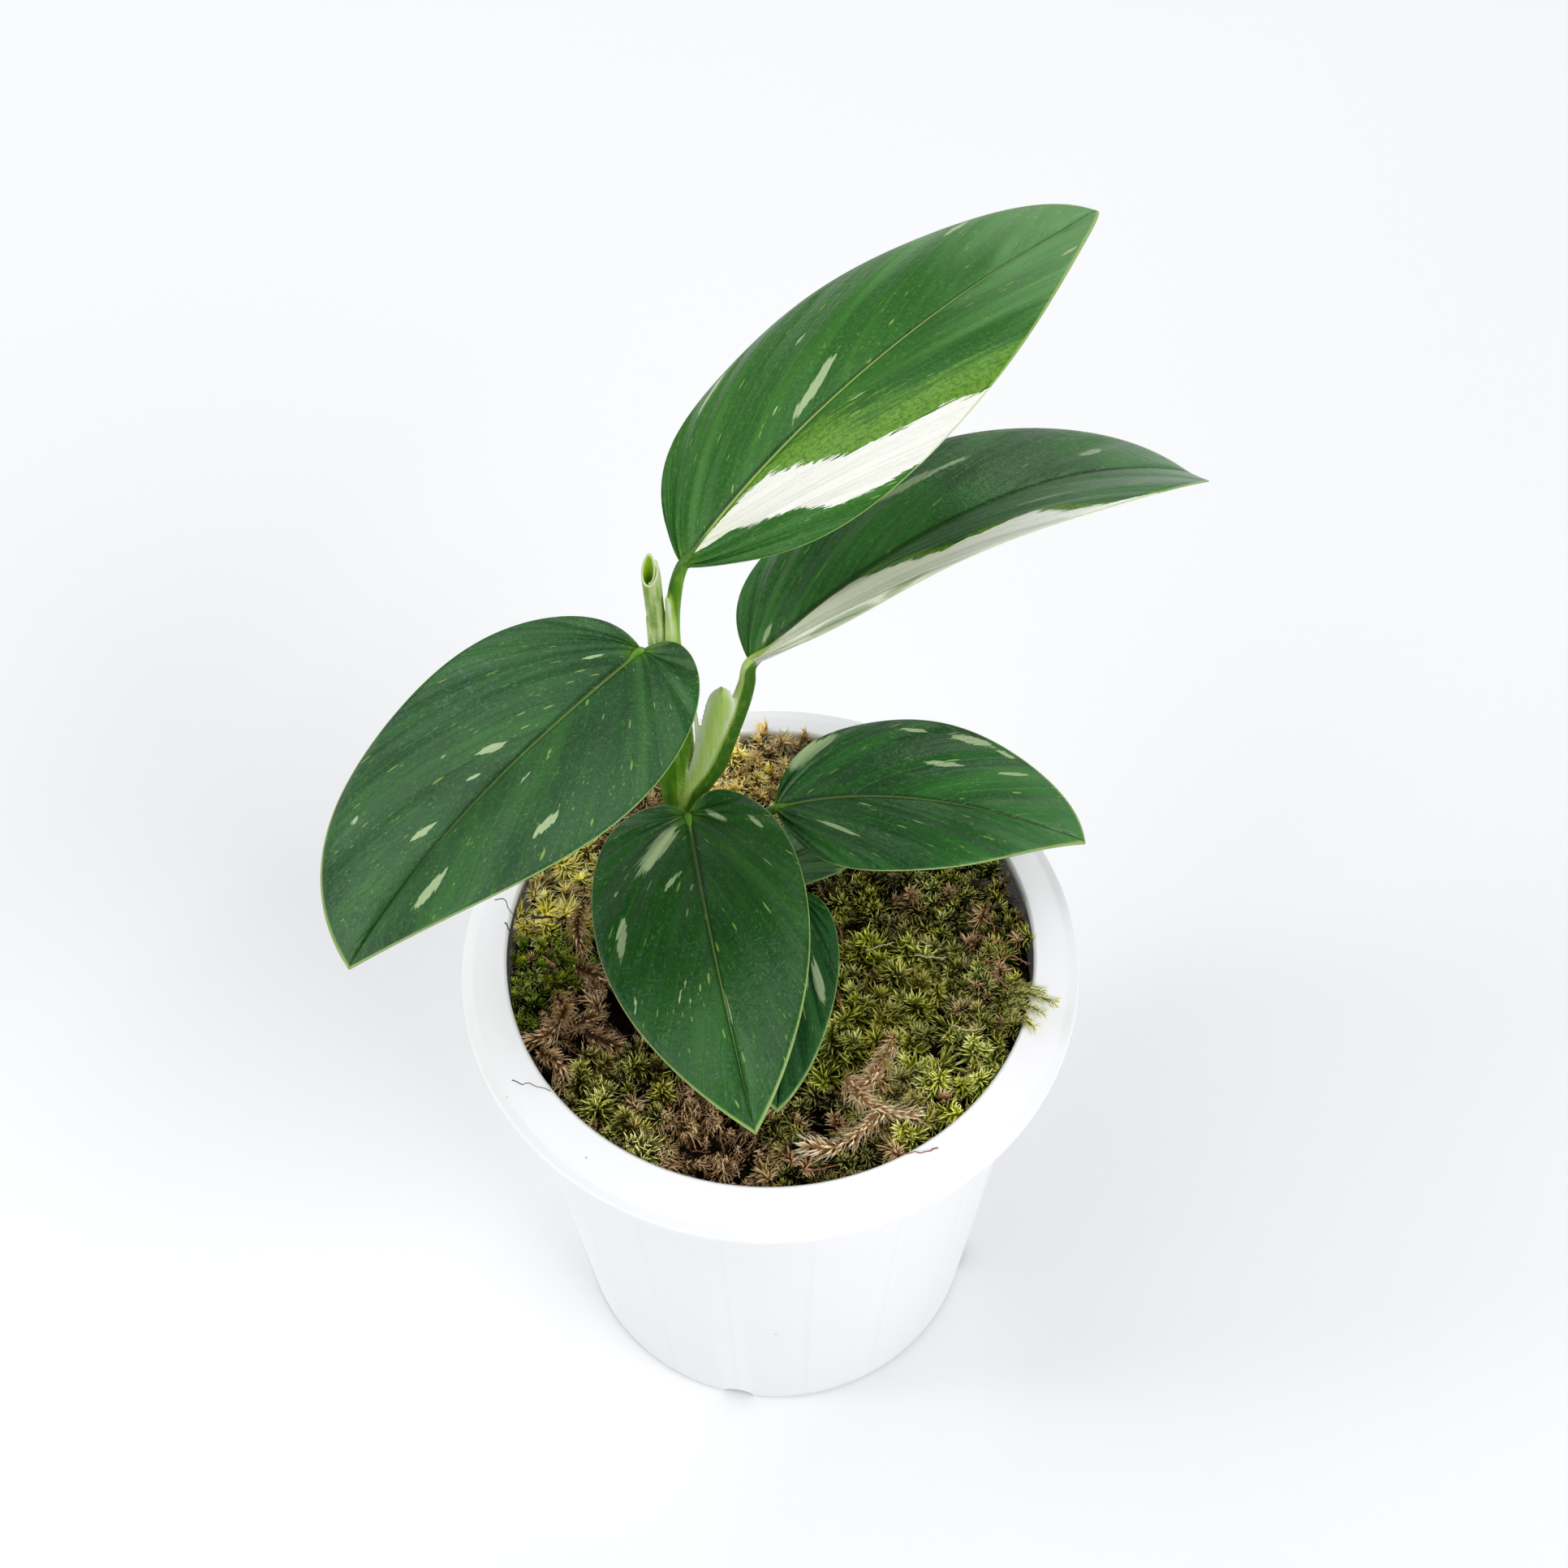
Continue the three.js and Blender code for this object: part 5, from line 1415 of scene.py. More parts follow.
def frond_tree():
    """Geometry nodes that set rings of curved leaflets along a stalk."""
    tree, w, given = tree_with_inputs("Frond", (
        ("Leaflets", "Object", None), ("Material", "Material", None), ("Step", "Float", 0.0004),
        ("Leaflet size", "Float", 0.003), ("Stalk radius", "Float", 0.0003), ("Seed", "Int", 1),
    ))
    seed = given["Seed"]
    stalk = w.add(
        "GeometryNodeResampleCurve", {"Curve": given["Geometry"], "Length": given["Step"]}, mode="LENGTH"
    )
    points = w.add("GeometryNodeCurveToPoints", {"Curve": stalk.outputs[0]}, mode="EVALUATED")
    turn = random_value(w, seed, 0, (-0.3, -0.3, -3), (0.3, 0.3, 3), "FLOAT_VECTOR")
    spin = w.add("FunctionNodeEulerToRotation", {0: turn})
    facing = w.add(
        "FunctionNodeAlignRotationToVector",
        {"Rotation": spin.outputs[0], "Vector": points.outputs["Tangent"], "Factor": 0.9}, axis="Z",
    )
    leaflet = w.add(
        "GeometryNodeObjectInfo", {"Object": given["Leaflets"], "As Instance": True},
        transform_space="ORIGINAL",
    )
    size = w.times(random_value(w, seed, 3, 0.65, 1.15), given["Leaflet size"])
    rows = set_down(w, seed, 5, {
        "Points": points.outputs[0], "Instance": leaflet.outputs["Geometry"],
        "Rotation": facing.outputs[0], "Scale": size,
    })
    ring = w.add("GeometryNodeCurvePrimitiveCircle", {"Resolution": 5, "Radius": given["Stalk radius"]})
    core = w.add(
        "GeometryNodeCurveToMesh",
        {"Curve": stalk.outputs[0], "Profile Curve": ring.outputs[0], "Fill Caps": True},
    )
    both = w.add("GeometryNodeJoinGeometry")
    w.tree.links.new(rows, both.inputs[0])
    w.tree.links.new(core.outputs[0], both.inputs[0])
    real = w.add("GeometryNodeRealizeInstances", {0: both.outputs[0]})
    w.add("NodeGroupOutput", {0: in_material(w, real.outputs[0], given["Material"])})
    return tree


def curve_piece(name, routes):
    """A curve with one line for each route."""
    data = bpy.data.curves.new(name, "CURVE")
    data.dimensions = "3D"
    for route in routes:
        line = smooth_route(route, STALK_STEPS) * MM
        spline = data.splines.new("POLY")
        spline.points.add(len(line) - 1)
        spline.points.foreach_set("co", np.hstack([line, np.ones((len(line), 1))]).ravel())
    piece = bpy.data.objects.new(name, data)
    bpy.context.scene.collection.objects.link(piece)
    return piece


def frond_pieces():
    """Feathery fronds on top of the moss: dry ones, withered brown ones and a pale green sprig."""
    tree = frond_tree()
    pieces = {}
    for node, row in FRONDS.items():
        name = node + ("_fine" if node == "moss_dry_fronds" else "_fronds")
        material = frond_material(name.replace("_", " "), *row["colours"])
        source = curve_piece(name, row["routes"])
        set_inputs(source, tree, {
            "Leaflets": leaflet_shape(material), "Material": material, "Step": row["step"] * MM,
            "Leaflet size": row["leaflet"] * MM, "Stalk radius": row["stalk"] * MM, "Seed": row["seed"],
        })
        mesh = evaluated_mesh(source)
        bpy.data.objects.remove(source)
        piece = bpy.data.objects.new(name, mesh)
        bpy.context.scene.collection.objects.link(piece)
        pieces[node] = piece
    return pieces


def frond_material(name, root, leaf, tip):
    """Feathery leaflets, dark where they meet the stalk and pale at their tips."""
    material, w, shader = new_material(name)
    colour = w.ramp(w.attribute("grown"), ((0.05, root), (0.55, leaf), (1.0, tip)))
    hue = w.add("ShaderNodeHueSaturation", {
        "Value": w.scale_add(w.attribute("tint"), 0.4, 0.75), "Color": colour,
    })
    connect(w, shader, Base_Color=hue.outputs[0], Roughness=0.6, Specular_IOR_Level=0.3)
    return material


def leaflet_shape(material):
    """A ring of curved leaflets that lean along the stalk, a unit long."""
    points, faces, grown = [], [], []
    draw = np.random.default_rng(9)
    for turn in np.linspace(0, 2 * math.pi, LEAFLETS, endpoint=False) + 0.3:
        turn += draw.uniform(-0.3, 0.3)
        out = np.array([math.cos(turn), math.sin(turn), 0])
        across = np.array([-math.sin(turn), math.cos(turn), 0])
        start = out * 0.06
        mid = out * draw.uniform(0.36, 0.52) + np.array([0, 0, draw.uniform(0.12, 0.32)])
        tip = out * draw.uniform(0.55, 0.8) + np.array([0, 0, draw.uniform(0.4, 0.72)])
        add_leaf(points, faces, start, mid, tip, across * 0.03, across * 0.06)
        grown += [0, 0, 0.6, 0.6, 1]
    return loose_shape("leaflets", points, faces, material, grown)


# Twigs, rootlets and hairs lying in the moss: route, radius at the thick end, and kind.
TWIGS = (
    (((13.9, 6.5, 127), (14.7, 3.8, 128.4), (15.5, 1.4, 127.4)), 0.3, "red"),
    (((13.6, -10.3, 128), (14.2, -13.5, 129.6), (14.8, -16.2, 128)), 0.35, "red"),
    (((46.4, 11.4, 128), (45.8, 7, 130), (46.9, 2.3, 130.4), (46.2, -1.6, 130)), 0.2, "red"),
    (((42.7, 1.8, 130), (45, 0.2, 131), (48.5, -1, 131), (47.6, -3.6, 131), (44.6, -3.4, 130)),
     0.2, "red"),
    (((44, -5, 130), (47.5, -5.6, 131.4), (50.8, -4.6, 131.2), (53.4, -6.4, 130.6)), 0.2, "red"),
    (((45.4, -6, 130), (46.5, -9, 131.4), (48, -11.1, 131.2), (50, -12.4, 130)), 0.18, "red"),
    (((28, 14, 127), (30, 12, 129), (30.5, 9, 129), (33, 8, 128)), 0.18, "red"),
    (((37, -20, 130), (40, -22, 131), (43, -21.4, 130.6)), 0.18, "straw"),
    (((30, -4, 131), (33.5, -5.2, 132), (36.5, -4.4, 131)), 0.18, "straw"),
    (((20, -2.5, 131), (23.6, -2, 131.8), (26, -0.8, 131)), 0.16, "straw"),
    (((-44.5, -9, 124.5), (-41, -11.5, 127.4), (-37, -10.8, 128), (-34.4, -13.6, 127.4)),
     0.18, "brown"),
    (((-46, -16.5, 123.8), (-42, -19, 126.8), (-38, -17.8, 127.2), (-34.6, -19.4, 126.4)),
     0.18, "brown"),
    (((-52.8, -30.9, 128.6), (-50.9, -32, 129.2), (-48.9, -32.1, 128.9), (-44.4, -33.5, 127.6)),
     0.13, "black"),
    (((-58, 12.2, 129), (-55.8, 11.4, 130), (-54.2, 8.5, 129.4), (-52.4, 6.1, 128.6)), 0.12, "black"),
    (((-55.6, 6.4, 129.2), (-54.6, 4.2, 129.8), (-53, 3.4, 129)), 0.16, "black"),
    (((-50, 8.4, 128), (-48, 7.6, 129), (-45.6, 8.2, 128.2)), 0.4, "dark"),
    (((43, 15.6, 128), (45, 14.6, 129.4), (46.6, 15.4, 128.6)), 0.8, "dark"),
    (((50.6, 10.8, 128.6), (52, 10, 129.6), (53, 10.8, 129)), 0.7, "dark"),
    (((34, -46, 126), (31, -48, 128), (26, -48.5, 128)), 0.18, "red"),
    (((6, -50, 124), (9, -51, 126), (13, -50, 126.4)), 0.18, "red"),
)
TWIG_KINK = 0.22  # how far a twig strays from its smooth route, in millimetres
TWIG_BENDS, TWIG_STEPS = 9, 18
TWIG_END = 0.55  # a twig's radius at its thin end, as a share of the thick end's
TWIG_SHADES = {"red": 0.0, "straw": 0.3, "brown": 0.55, "dark": 0.8, "black": 1.0}


def litter_piece():
    """Twigs, rootlets and hairs lying in the moss."""
    parts, shades = [], []
    draw = np.random.default_rng(4)
    for route, radius, kind in TWIGS:
        line = smooth_route(route, TWIG_BENDS)
        line[1:-1] += draw.uniform(-TWIG_KINK, TWIG_KINK, (TWIG_BENDS - 2, 3))
        line = smooth_route(line, TWIG_STEPS)
        taper = np.linspace(1, TWIG_END, TWIG_STEPS) * radius
        points, faces = tube(line, taper, taper, 6, (0, 0.3, 1))
        parts.append((points, faces))
        shades += [TWIG_SHADES[kind]] * len(points)
    points, faces = joined(parts)
    return mesh_piece("twigs_and_hairs", points * MM, faces, twig_material(), {"kind": shades})


def twig_material():
    """Reddish, straw, brown and black twigs, each with a grain."""
    material, w, shader = new_material("twig bark")
    grain = w.noise(object_coordinates(w), 1600, 3)
    colour = w.ramp(w.attribute("kind"), (
        (0.0, "a0644c"), (0.3, "d8c8a4"), (0.55, "9a6c50"),
        (0.8, "2e201c"), (1.0, "2a2226"),
    ))
    colour = w.tint(colour, w.step(grain, 0.4, 0.7), 0.5, "4a2c22")
    connect(w, shader, Base_Color=colour, Roughness=0.7, Normal=w.bump(grain, 0.6, 0.0002))
    return material


# Pot

POT = dict(
    rim=65, lip_under=120.9, lip=1.6, collar_foot=62.7, mouth=55.1, mouth_height=128,
    shoulder=57.8, foot=45.3, wall=1.3, collar_wall=1.5, shoulder_drop=1, throat_drop=2,
    floor=4.5, floor_thickness=1.6, pad=16, pad_slope=1.5, foot_ring=2.2,
    holes=8, hole_circle=31, hole=4, notches=4, first_notch=-101.5, notch_width=7, notch_height=3,
    mouth_bevel=0.7, overcut=2,
)
HOLE_SIDES, NOTCH_SIDES = 32, 24
SHARP_EDGE = 50  # degrees between two faces from which their edge looks sharp
FLUTES = 18  # faint upright lines round the body, in step with the notches


def rounded(profile, radius=0.45, steps=3):
    """A profile with each corner rounded off."""
    p = np.asarray(profile, float)
    out = [p[0]]
    for a, b, c in zip(p[:-2], p[1:-1], p[2:]):
        before, after = a - b, c - b
        la, lc = np.linalg.norm(before), np.linalg.norm(after)
        cut = min(radius, la * 0.4, lc * 0.4)
        start, end = b + before / la * cut, b + after / lc * cut
        for t in np.linspace(0, 1, steps + 1):
            out.append((1 - t) ** 2 * start + 2 * t * (1 - t) * b + t**2 * end)
    out.append(p[-1])
    return np.array(out)


def pot_profile():
    """Radius and height round the pot's section, from the middle of its floor and back."""
    p = POT
    floor_top = p["floor"] + p["floor_thickness"]
    skirt = p["lip_under"] + p["lip"]

    def body(z):
        return p["foot"] + (p["shoulder"] - p["foot"]) * z / p["lip_under"]

    slope = (p["mouth_height"] - skirt) / (p["collar_foot"] - p["mouth"])
    under = p["shoulder"] + p["wall"]
    return [
        (0, p["floor_thickness"]), (p["pad"] - p["floor_thickness"], p["floor_thickness"]),
        (p["pad"] - p["floor_thickness"] + p["pad_slope"], floor_top),
        (body(floor_top) - p["wall"], floor_top),
        (body(p["lip_under"]) - p["wall"], p["lip_under"] - p["throat_drop"]),
        (p["mouth"], p["mouth_height"] - p["mouth_bevel"]),
        (p["mouth"] + p["mouth_bevel"], p["mouth_height"]),
        (p["collar_foot"], skirt), (p["rim"], skirt), (p["rim"], p["lip_under"]),
        (p["collar_foot"] - p["collar_wall"], p["lip_under"]),
        (under, p["mouth_height"] - slope * (under - p["mouth"]) - p["collar_wall"]),
        (p["shoulder"], p["lip_under"] - p["shoulder_drop"]), (p["foot"], 0),
        (p["foot"] - p["foot_ring"], 0), (p["foot"] - p["foot_ring"], p["floor"]),
        (p["pad"] + p["pad_slope"], p["floor"]), (p["pad"], 0), (0, 0),
    ]


def pot_cutters():
    """Points and faces of what is cut from the pot: its drain holes and foot notches."""
    p = POT
    cutters = []
    low, high = p["floor"] - p["overcut"], p["floor"] + p["floor_thickness"] + p["overcut"]
    for i in range(p["holes"]):
        a = 2 * math.pi * i / p["holes"]
        x, y = p["hole_circle"] * math.cos(a), p["hole_circle"] * math.sin(a)
        cutters.append(tube([(x, y, low), (x, y, high)], p["hole"], p["hole"], HOLE_SIDES))
    for i in range(p["notches"]):
        a = math.radians(p["first_notch"] + 360 * i / p["notches"])
        out = np.array([math.cos(a), math.sin(a), 0])
        reach = out * p["foot_ring"] * 1.5
        centre = (p["foot"] - p["foot_ring"] / 2) * out
        half_width, height = p["notch_width"] / 2, p["notch_height"]
        level = (-math.sin(a), math.cos(a), 0)
        route = [centre - reach, centre + reach]
        cutters.append(tube(route, half_width, height, NOTCH_SIDES, level))
    return joined(cutters)


def pot_piece(settings):
    """The nursery pot, turned from its profile, with its holes and notches cut."""
    line = rounded(pot_profile(), settings.rounding / MM)
    sides = settings.sides
    turn = np.linspace(0, 2 * math.pi, sides, endpoint=False)
    points = [(0, 0, line[0][1])]
    for r, z in line[1:-1]:
        points += [(r * math.cos(a), r * math.sin(a), z) for a in turn]
    points.append((0, 0, line[-1][1]))
    faces = []
    rings = len(line) - 2
    for k in range(sides):
        m = (k + 1) % sides
        faces.append((0, 1 + m, 1 + k))
        for i in range(rings - 1):
            a, b = 1 + i * sides + k, 1 + i * sides + m
            faces.append((a, b, b + sides, a + sides))
        faces.append((len(points) - 1, 1 + (rings - 1) * sides + k, 1 + (rings - 1) * sides + m))
    piece = mesh_piece("nursery_pot_fine", np.array(points) * MM, faces, pot_material(settings))
    turn_outward(piece.data)
    cut_points, cut_faces = pot_cutters()
    cutter = mesh_piece("pot_cutter", cut_points * MM, cut_faces, piece.data.materials[0])
    cut = piece.modifiers.new("holes", "BOOLEAN")
    cut.operation = "DIFFERENCE"
    cut.solver = "EXACT"
    cut.object = cutter
    baked(piece)
    bpy.data.objects.remove(cutter)
    piece.data.shade_smooth()
    piece.data.set_sharp_from_angle(angle=math.radians(SHARP_EDGE))
    return piece


def pot_material(settings):
    """Satin white plastic with faint upright flutes carrying painted shade, scuffs and a few specks of
    soil.
    """
    material, w, shader = new_material("pot plastic")
    place = object_coordinates(w)
    haze = w.noise(place, 18, 3)
    scuff = w.stretched(place, (90.0, 90.0, 900.0), 3, 0.6)
    colour = w.mix(w.step(haze, 0.3, 0.7), tuple(settings.colour), "f5f5f8")
    cells = w.add("ShaderNodeTexVoronoi", {"Vector": place, "Scale": 240.0})
    pick = w.add("ShaderNodeSeparateColor", {0: cells.outputs["Color"]})
    chosen = w.math("GREATER_THAN", pick.outputs[0], 0.975)
    size = w.scale_add(pick.outputs[1], 0.05, 0.02)
    dirt = w.times(chosen, w.math("LESS_THAN", cells.outputs["Distance"], size))
    colour = w.tint(colour, dirt, 0.6, "7a6a60")
    axes = w.add("ShaderNodeSeparateXYZ", {0: place}).outputs
    turn = w.math("ARCTAN2", axes[1], axes[0])
    turn = w.math("SUBTRACT", turn, math.radians(POT["first_notch"]))
    turn = w.times(turn, FLUTES / (2 * math.pi))
    flute = w.fade(w.math("PINGPONG", turn, 0.5), 0.0, 0.07)
    top = POT["lip_under"] * MM
    flute = w.times(flute, w.fade(axes[2], top * 0.93, top * 0.97))
    # Painted shade: a faint grey along each flute
    colour = w.tint(colour, flute, 0.06, "d0d2d8")
    rough = w.scale_add(scuff, 0.18, 0.3)
    relief = w.scale_add(flute, 0.5, w.times(scuff, 0.12))
    connect(w, shader, Base_Color=colour, Roughness=rough, Normal=w.bump(relief, 0.4, 0.0003))
    connect(w, shader, Subsurface_Weight=0.15, Subsurface_Scale=0.004, Subsurface_Radius=(1, 1, 1))
    return material


def medium_material():
    """Dark crumbs of bark and coir."""
    material, w, shader = new_material("bark and coir")
    place = object_coordinates(w)
    crumb = w.add("ShaderNodeTexVoronoi", {"Vector": place, "Scale": 420.0})
    grain = w.noise(place, 900, 3)
    colour = w.ramp(grain, ((0.3, "100a06"), (0.6, "2e1d12"), (0.85, "5c4128")))
    height = w.math("ADD", w.times(crumb.outputs["Distance"], 0.7), w.times(grain, 0.3))
    connect(w, shader, Base_Color=colour, Normal=w.bump(height, 1.0, 0.0015))
    connect(w, shader, Roughness=0.95, Specular_IOR_Level=0.2)
    return material


# Stage

FLOOR_HALF, FLOOR_DROP = 3.0, -0.0005  # the floor's half side and its place under the pot
# The photograph's camera: place, how far it looks down and rolls, and its lens in pixels.
CAMERA = dict(
    place=(3.39, -347.705, 702.828), down=55.9, roll=-0.74, focal=3950, image=1932, sensor=36.0,
)

# Softboxes: name, place and size in metres, and share of the power.
SOFTBOXES = (
    ("upper left", (-0.75, 0.45, 1.55), (1.7, 1.7), 0.8),
    ("front right", (1.3, -1.05, 1.2), (1.4, 1.4), 1.55),
    ("front left", (-1.3, -1.1, 1.0), (1.3, 1.3), 0.4),
    ("far back", (0.7, 1.6, 1.1), (1.3, 0.5), 0.4),
    ("left strip", (-1.5, -0.2, 1.0), (0.35, 1.4), 0.36),
)


def camera():
    """The photograph's viewpoint."""
    c = CAMERA
    down, roll = math.radians(c["down"]), math.radians(c["roll"])
    look = Vector((0, math.cos(down), -math.sin(down)))
    right = Vector((1, 0, 0))
    up = right.cross(look)
    right_rolled = right * math.cos(roll) + up * math.sin(roll)
    up_rolled = up * math.cos(roll) - right * math.sin(roll)
    data = bpy.data.cameras.new("camera")
    data.sensor_width = c["sensor"]
    data.lens = c["sensor"] * c["focal"] / c["image"]
    data.clip_start, data.clip_end = 0.01, 20
    eye = bpy.data.objects.new("camera", data)
    turn = Matrix((right_rolled, up_rolled, -look)).transposed().to_4x4()
    eye.matrix_world = Matrix.Translation(Vector(c["place"]) * MM) @ turn
    bpy.context.scene.collection.objects.link(eye)
    bpy.context.scene.camera = eye


def softbox(name, place, aim, size, power):
    """A rectangular area light turned to the plant."""
    data = bpy.data.lights.new(name, "AREA")
    data.shape = "RECTANGLE"
    data.size, data.size_y = size
    data.energy = power
    lamp = bpy.data.objects.new(name, data)
    lamp.location = place
    lamp.rotation_euler = (Vector(aim) - Vector(place)).to_track_quat("-Z", "Y").to_euler()
    bpy.context.scene.collection.objects.link(lamp)


def floor_material(settings):
    """Matt paper, a little uneven in tone."""
    material, w, shader = new_material("studio floor")
    haze = w.noise(object_coordinates(w), 3, 2)
    colour = w.mix(w.step(haze, 0.2, 0.8), tuple(settings.floor_colour), "f1f2f3")
    connect(w, shader, Base_Color=colour, Roughness=0.85, Specular_IOR_Level=0.2)
    return material


def stage(settings):
    """Pale floor, even sky, the softboxes and the camera."""
    half = FLOOR_HALF
    corners = [(-half, -half, 0), (half, -half, 0), (half, half, 0), (-half, half, 0)]
    floor = mesh_piece("floor", corners, [(0, 1, 2, 3)], floor_material(settings))
    floor.location.z = FLOOR_DROP
    floor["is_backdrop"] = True
    world = bpy.data.worlds.new("studio")
    bpy.context.scene.world = world
    world.use_nodes = True
    back = world.node_tree.nodes["Background"]
    back.inputs["Color"].default_value = (0.97, 0.98, 1.0, 1)
    back.inputs["Strength"].default_value = settings.sky
    for name, place, size, share in SOFTBOXES:
        softbox(name, place, MIDDLE, size, settings.power * share)
    bpy.context.scene.view_settings.view_transform = "Standard"
    bpy.context.scene.view_settings.look = "None"
    camera()


# Settings


class PotSettings(bpy.types.PropertyGroup):
    colour: bpy.props.FloatVectorProperty(
        name="Plastic", description="Colour of the pot's plastic", subtype="COLOR", size=4,
        min=0, max=1, default=linear("f8f8fa"),
    )
    rounding: bpy.props.FloatProperty(
        name="Rounding", description="Radius of the pot's rounded edges", subtype="DISTANCE",
        unit="LENGTH", default=0.00045, min=0.0001, max=0.001, precision=5,
    )
    sides: bpy.props.IntProperty(
        name="Sides", description="Faces round the pot", default=160, min=24, max=320
    )


class StemSettings(bpy.types.PropertyGroup):
    colour: bpy.props.FloatVectorProperty(
        name="Petiole", description="Main green of stem and petioles", subtype="COLOR", size=4,
        min=0, max=1, default=linear("478217"),
    )
    skin_step: bpy.props.FloatProperty(
        name="Skin step", description="Cell size of the fused skin", subtype="DISTANCE", unit="LENGTH",
        default=0.0003, min=0.0002, max=0.001, precision=5,
    )


class BladeSettings(bpy.types.PropertyGroup):
    thickness: bpy.props.FloatProperty(
        name="Thickness", description="Thickness of a blade away from its midrib", subtype="DISTANCE",
        unit="LENGTH", default=BLADE["thickness"] * MM, min=0.0002, max=0.001, precision=5,
    )
    wave: bpy.props.FloatProperty(
        name="Margin wave", description="How strongly the margins wave", default=1.0, min=0, max=2
    )


class MossSettings(bpy.types.PropertyGroup):
    density: bpy.props.FloatProperty(
        name="Density", description="How closely the shoots stand", default=1.0, min=0.3, max=1.3
    )
    shoot_scale: bpy.props.FloatProperty(
        name="Shoot size", description="Size of the shoots", default=1.0, min=0.5, max=1.5
    )
    straw: bpy.props.FloatProperty(
        name="Straw", description="Bits of straw on each square millimetre", default=0.03, min=0, max=0.2
    )


class StageSettings(bpy.types.PropertyGroup):
    floor_colour: bpy.props.FloatVectorProperty(
        name="Floor", description="Colour of the floor", subtype="COLOR", size=4, min=0, max=1,
        default=linear("f0f1f2"),
    )
    sky: bpy.props.FloatProperty(
        name="Sky", description="Strength of the even light all round", default=0.32, min=0, max=2
    )
    power: bpy.props.FloatProperty(
        name="Softboxes", description="Power that each softbox takes its share of",
        subtype="POWER", unit="POWER", default=16.2, min=0, max=200,
    )


# Operators


class MONSTERA_OT_pot(bpy.types.Operator):
    """Make the nursery pot"""

    bl_idname = "monstera.pot"
    bl_label = "Nursery pot"

    def execute(self, context):
        piece = pot_piece(context.scene.monstera_pot)
        finish_piece(piece, "pot_plastic", "nursery_pot")
        return {"FINISHED"}


class MONSTERA_OT_medium(bpy.types.Operator):
    """Give the growing medium its bark and coir"""

    bl_idname = "monstera.medium"
    bl_label = "Growing medium"

    def execute(self, context):
        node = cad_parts["growing_medium"]
        node.data.materials.clear()
        node.data.materials.append(medium_material())
        return {"FINISHED"}


class MONSTERA_OT_moss(bpy.types.Operator):
    """Grow shoots on every clump of moss"""

    bl_idname = "monstera.moss"
    bl_label = "Moss clumps"

    def execute(self, context):
        moss_pieces(context.scene.monstera_moss)
        return {"FINISHED"}


class MONSTERA_OT_fronds(bpy.types.Operator):
    """Lay the fronds, twigs and hairs on the moss"""

    bl_idname = "monstera.fronds"
    bl_label = "Fronds and twigs"

    def execute(self, context):
        for node, piece in frond_pieces().items():
            if node == "moss_dry_fronds":
                finish_piece(piece, node, node)
            else:
                finish_piece(piece, node)
        finish_piece(litter_piece(), "moss_dry_fronds")
        return {"FINISHED"}


class MONSTERA_OT_stem(bpy.types.Operator):
    """Make the stem with its petioles and sheath"""

    bl_idname = "monstera.stem"
    bl_label = "Stem and petioles"

    def execute(self, context):
        finish_piece(stem_piece(context.scene.monstera_stem), "stem", "stem_and_petioles")
        return {"FINISHED"}


class MONSTERA_OT_blades(bpy.types.Operator):
    """Make the seven leaf blades"""

    bl_idname = "monstera.blades"
    bl_label = "Leaf blades"

    def execute(self, context):
        for name, leaf in LEAVES.items():
            finish_piece(blade_piece(name, leaf, context.scene.monstera_blade), name, name)
        return {"FINISHED"}


class MONSTERA_OT_new_leaf(bpy.types.Operator):
    """Make the new leaf, still rolled"""

    bl_idname = "monstera.new_leaf"
    bl_label = "New leaf"

    def execute(self, context):
        finish_piece(scroll_piece(), "new_leaf", "new_leaf_roll")
        return {"FINISHED"}


class MONSTERA_OT_stage(bpy.types.Operator):
    """Set up the floor, the lights and the camera"""

    bl_idname = "monstera.stage"
    bl_label = "Stage"

    def execute(self, context):
        stage(context.scene.monstera_stage)
        return {"FINISHED"}


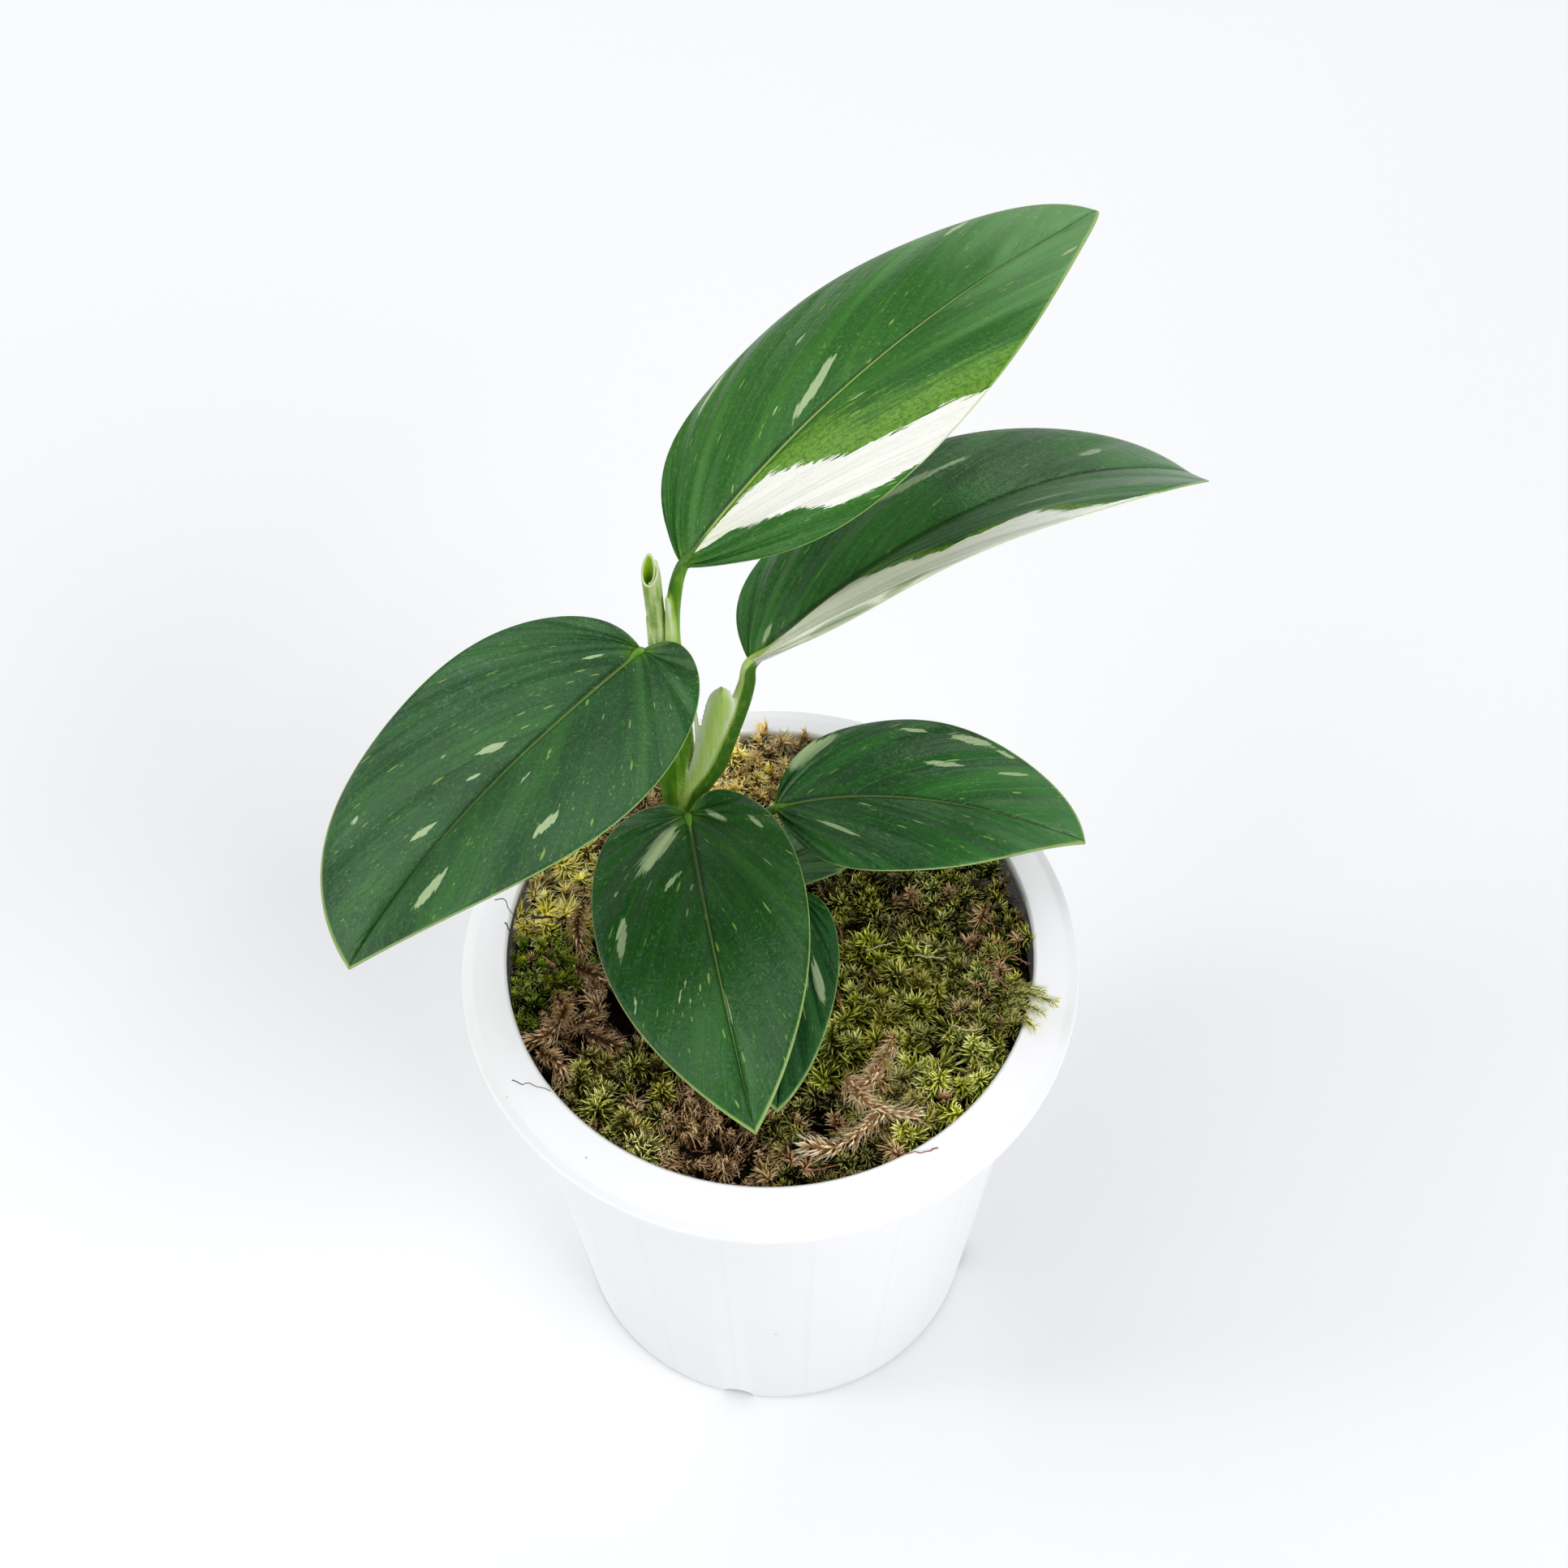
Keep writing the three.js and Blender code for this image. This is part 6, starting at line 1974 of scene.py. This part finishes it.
class MONSTERA_PT_panel(bpy.types.Panel):
    """Settings and pieces of the potted monstera"""

    bl_idname = "MONSTERA_PT_panel"
    bl_label = "Monstera"
    bl_space_type = "VIEW_3D"
    bl_region_type = "UI"
    bl_category = "Monstera"

    def draw(self, context):
        for title, group, operators in PANEL_ROWS:
            box = self.layout.box()
            box.label(text=title)
            settings = getattr(context.scene, group, None)
            if settings:
                for key in settings.__annotations__:
                    box.prop(settings, key)
            for operator in operators:
                box.operator(operator.bl_idname)


GROUPS = {
    "monstera_pot": PotSettings,
    "monstera_moss": MossSettings,
    "monstera_stem": StemSettings,
    "monstera_blade": BladeSettings,
    "monstera_stage": StageSettings,
}
OPERATORS = (
    MONSTERA_OT_stage, MONSTERA_OT_pot, MONSTERA_OT_medium, MONSTERA_OT_moss, MONSTERA_OT_fronds,
    MONSTERA_OT_stem, MONSTERA_OT_blades, MONSTERA_OT_new_leaf,
)
PANEL_ROWS = (
    ("Pot", "monstera_pot", (MONSTERA_OT_pot, MONSTERA_OT_medium)),
    ("Moss", "monstera_moss", (MONSTERA_OT_moss, MONSTERA_OT_fronds)),
    ("Stem", "monstera_stem", (MONSTERA_OT_stem,)),
    ("Leaves", "monstera_blade", (MONSTERA_OT_blades, MONSTERA_OT_new_leaf)),
    ("Stage", "monstera_stage", (MONSTERA_OT_stage,)),
)


def register():
    for cls in (*GROUPS.values(), *OPERATORS, MONSTERA_PT_panel):
        bpy.utils.register_class(cls)
    for key, cls in GROUPS.items():
        setattr(bpy.types.Scene, key, bpy.props.PointerProperty(type=cls))


def unregister():
    for key in GROUPS:
        delattr(bpy.types.Scene, key)
    for cls in reversed((*GROUPS.values(), *OPERATORS, MONSTERA_PT_panel)):
        bpy.utils.unregister_class(cls)


def main():
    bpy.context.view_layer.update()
    register()
    bpy.ops.monstera.stage()
    bpy.ops.monstera.pot()
    bpy.ops.monstera.medium()
    bpy.ops.monstera.moss()
    bpy.ops.monstera.fronds()
    bpy.ops.monstera.stem()
    bpy.ops.monstera.blades()
    bpy.ops.monstera.new_leaf()
    bpy.context.view_layer.update()


if __name__ == "__main__":
    main()
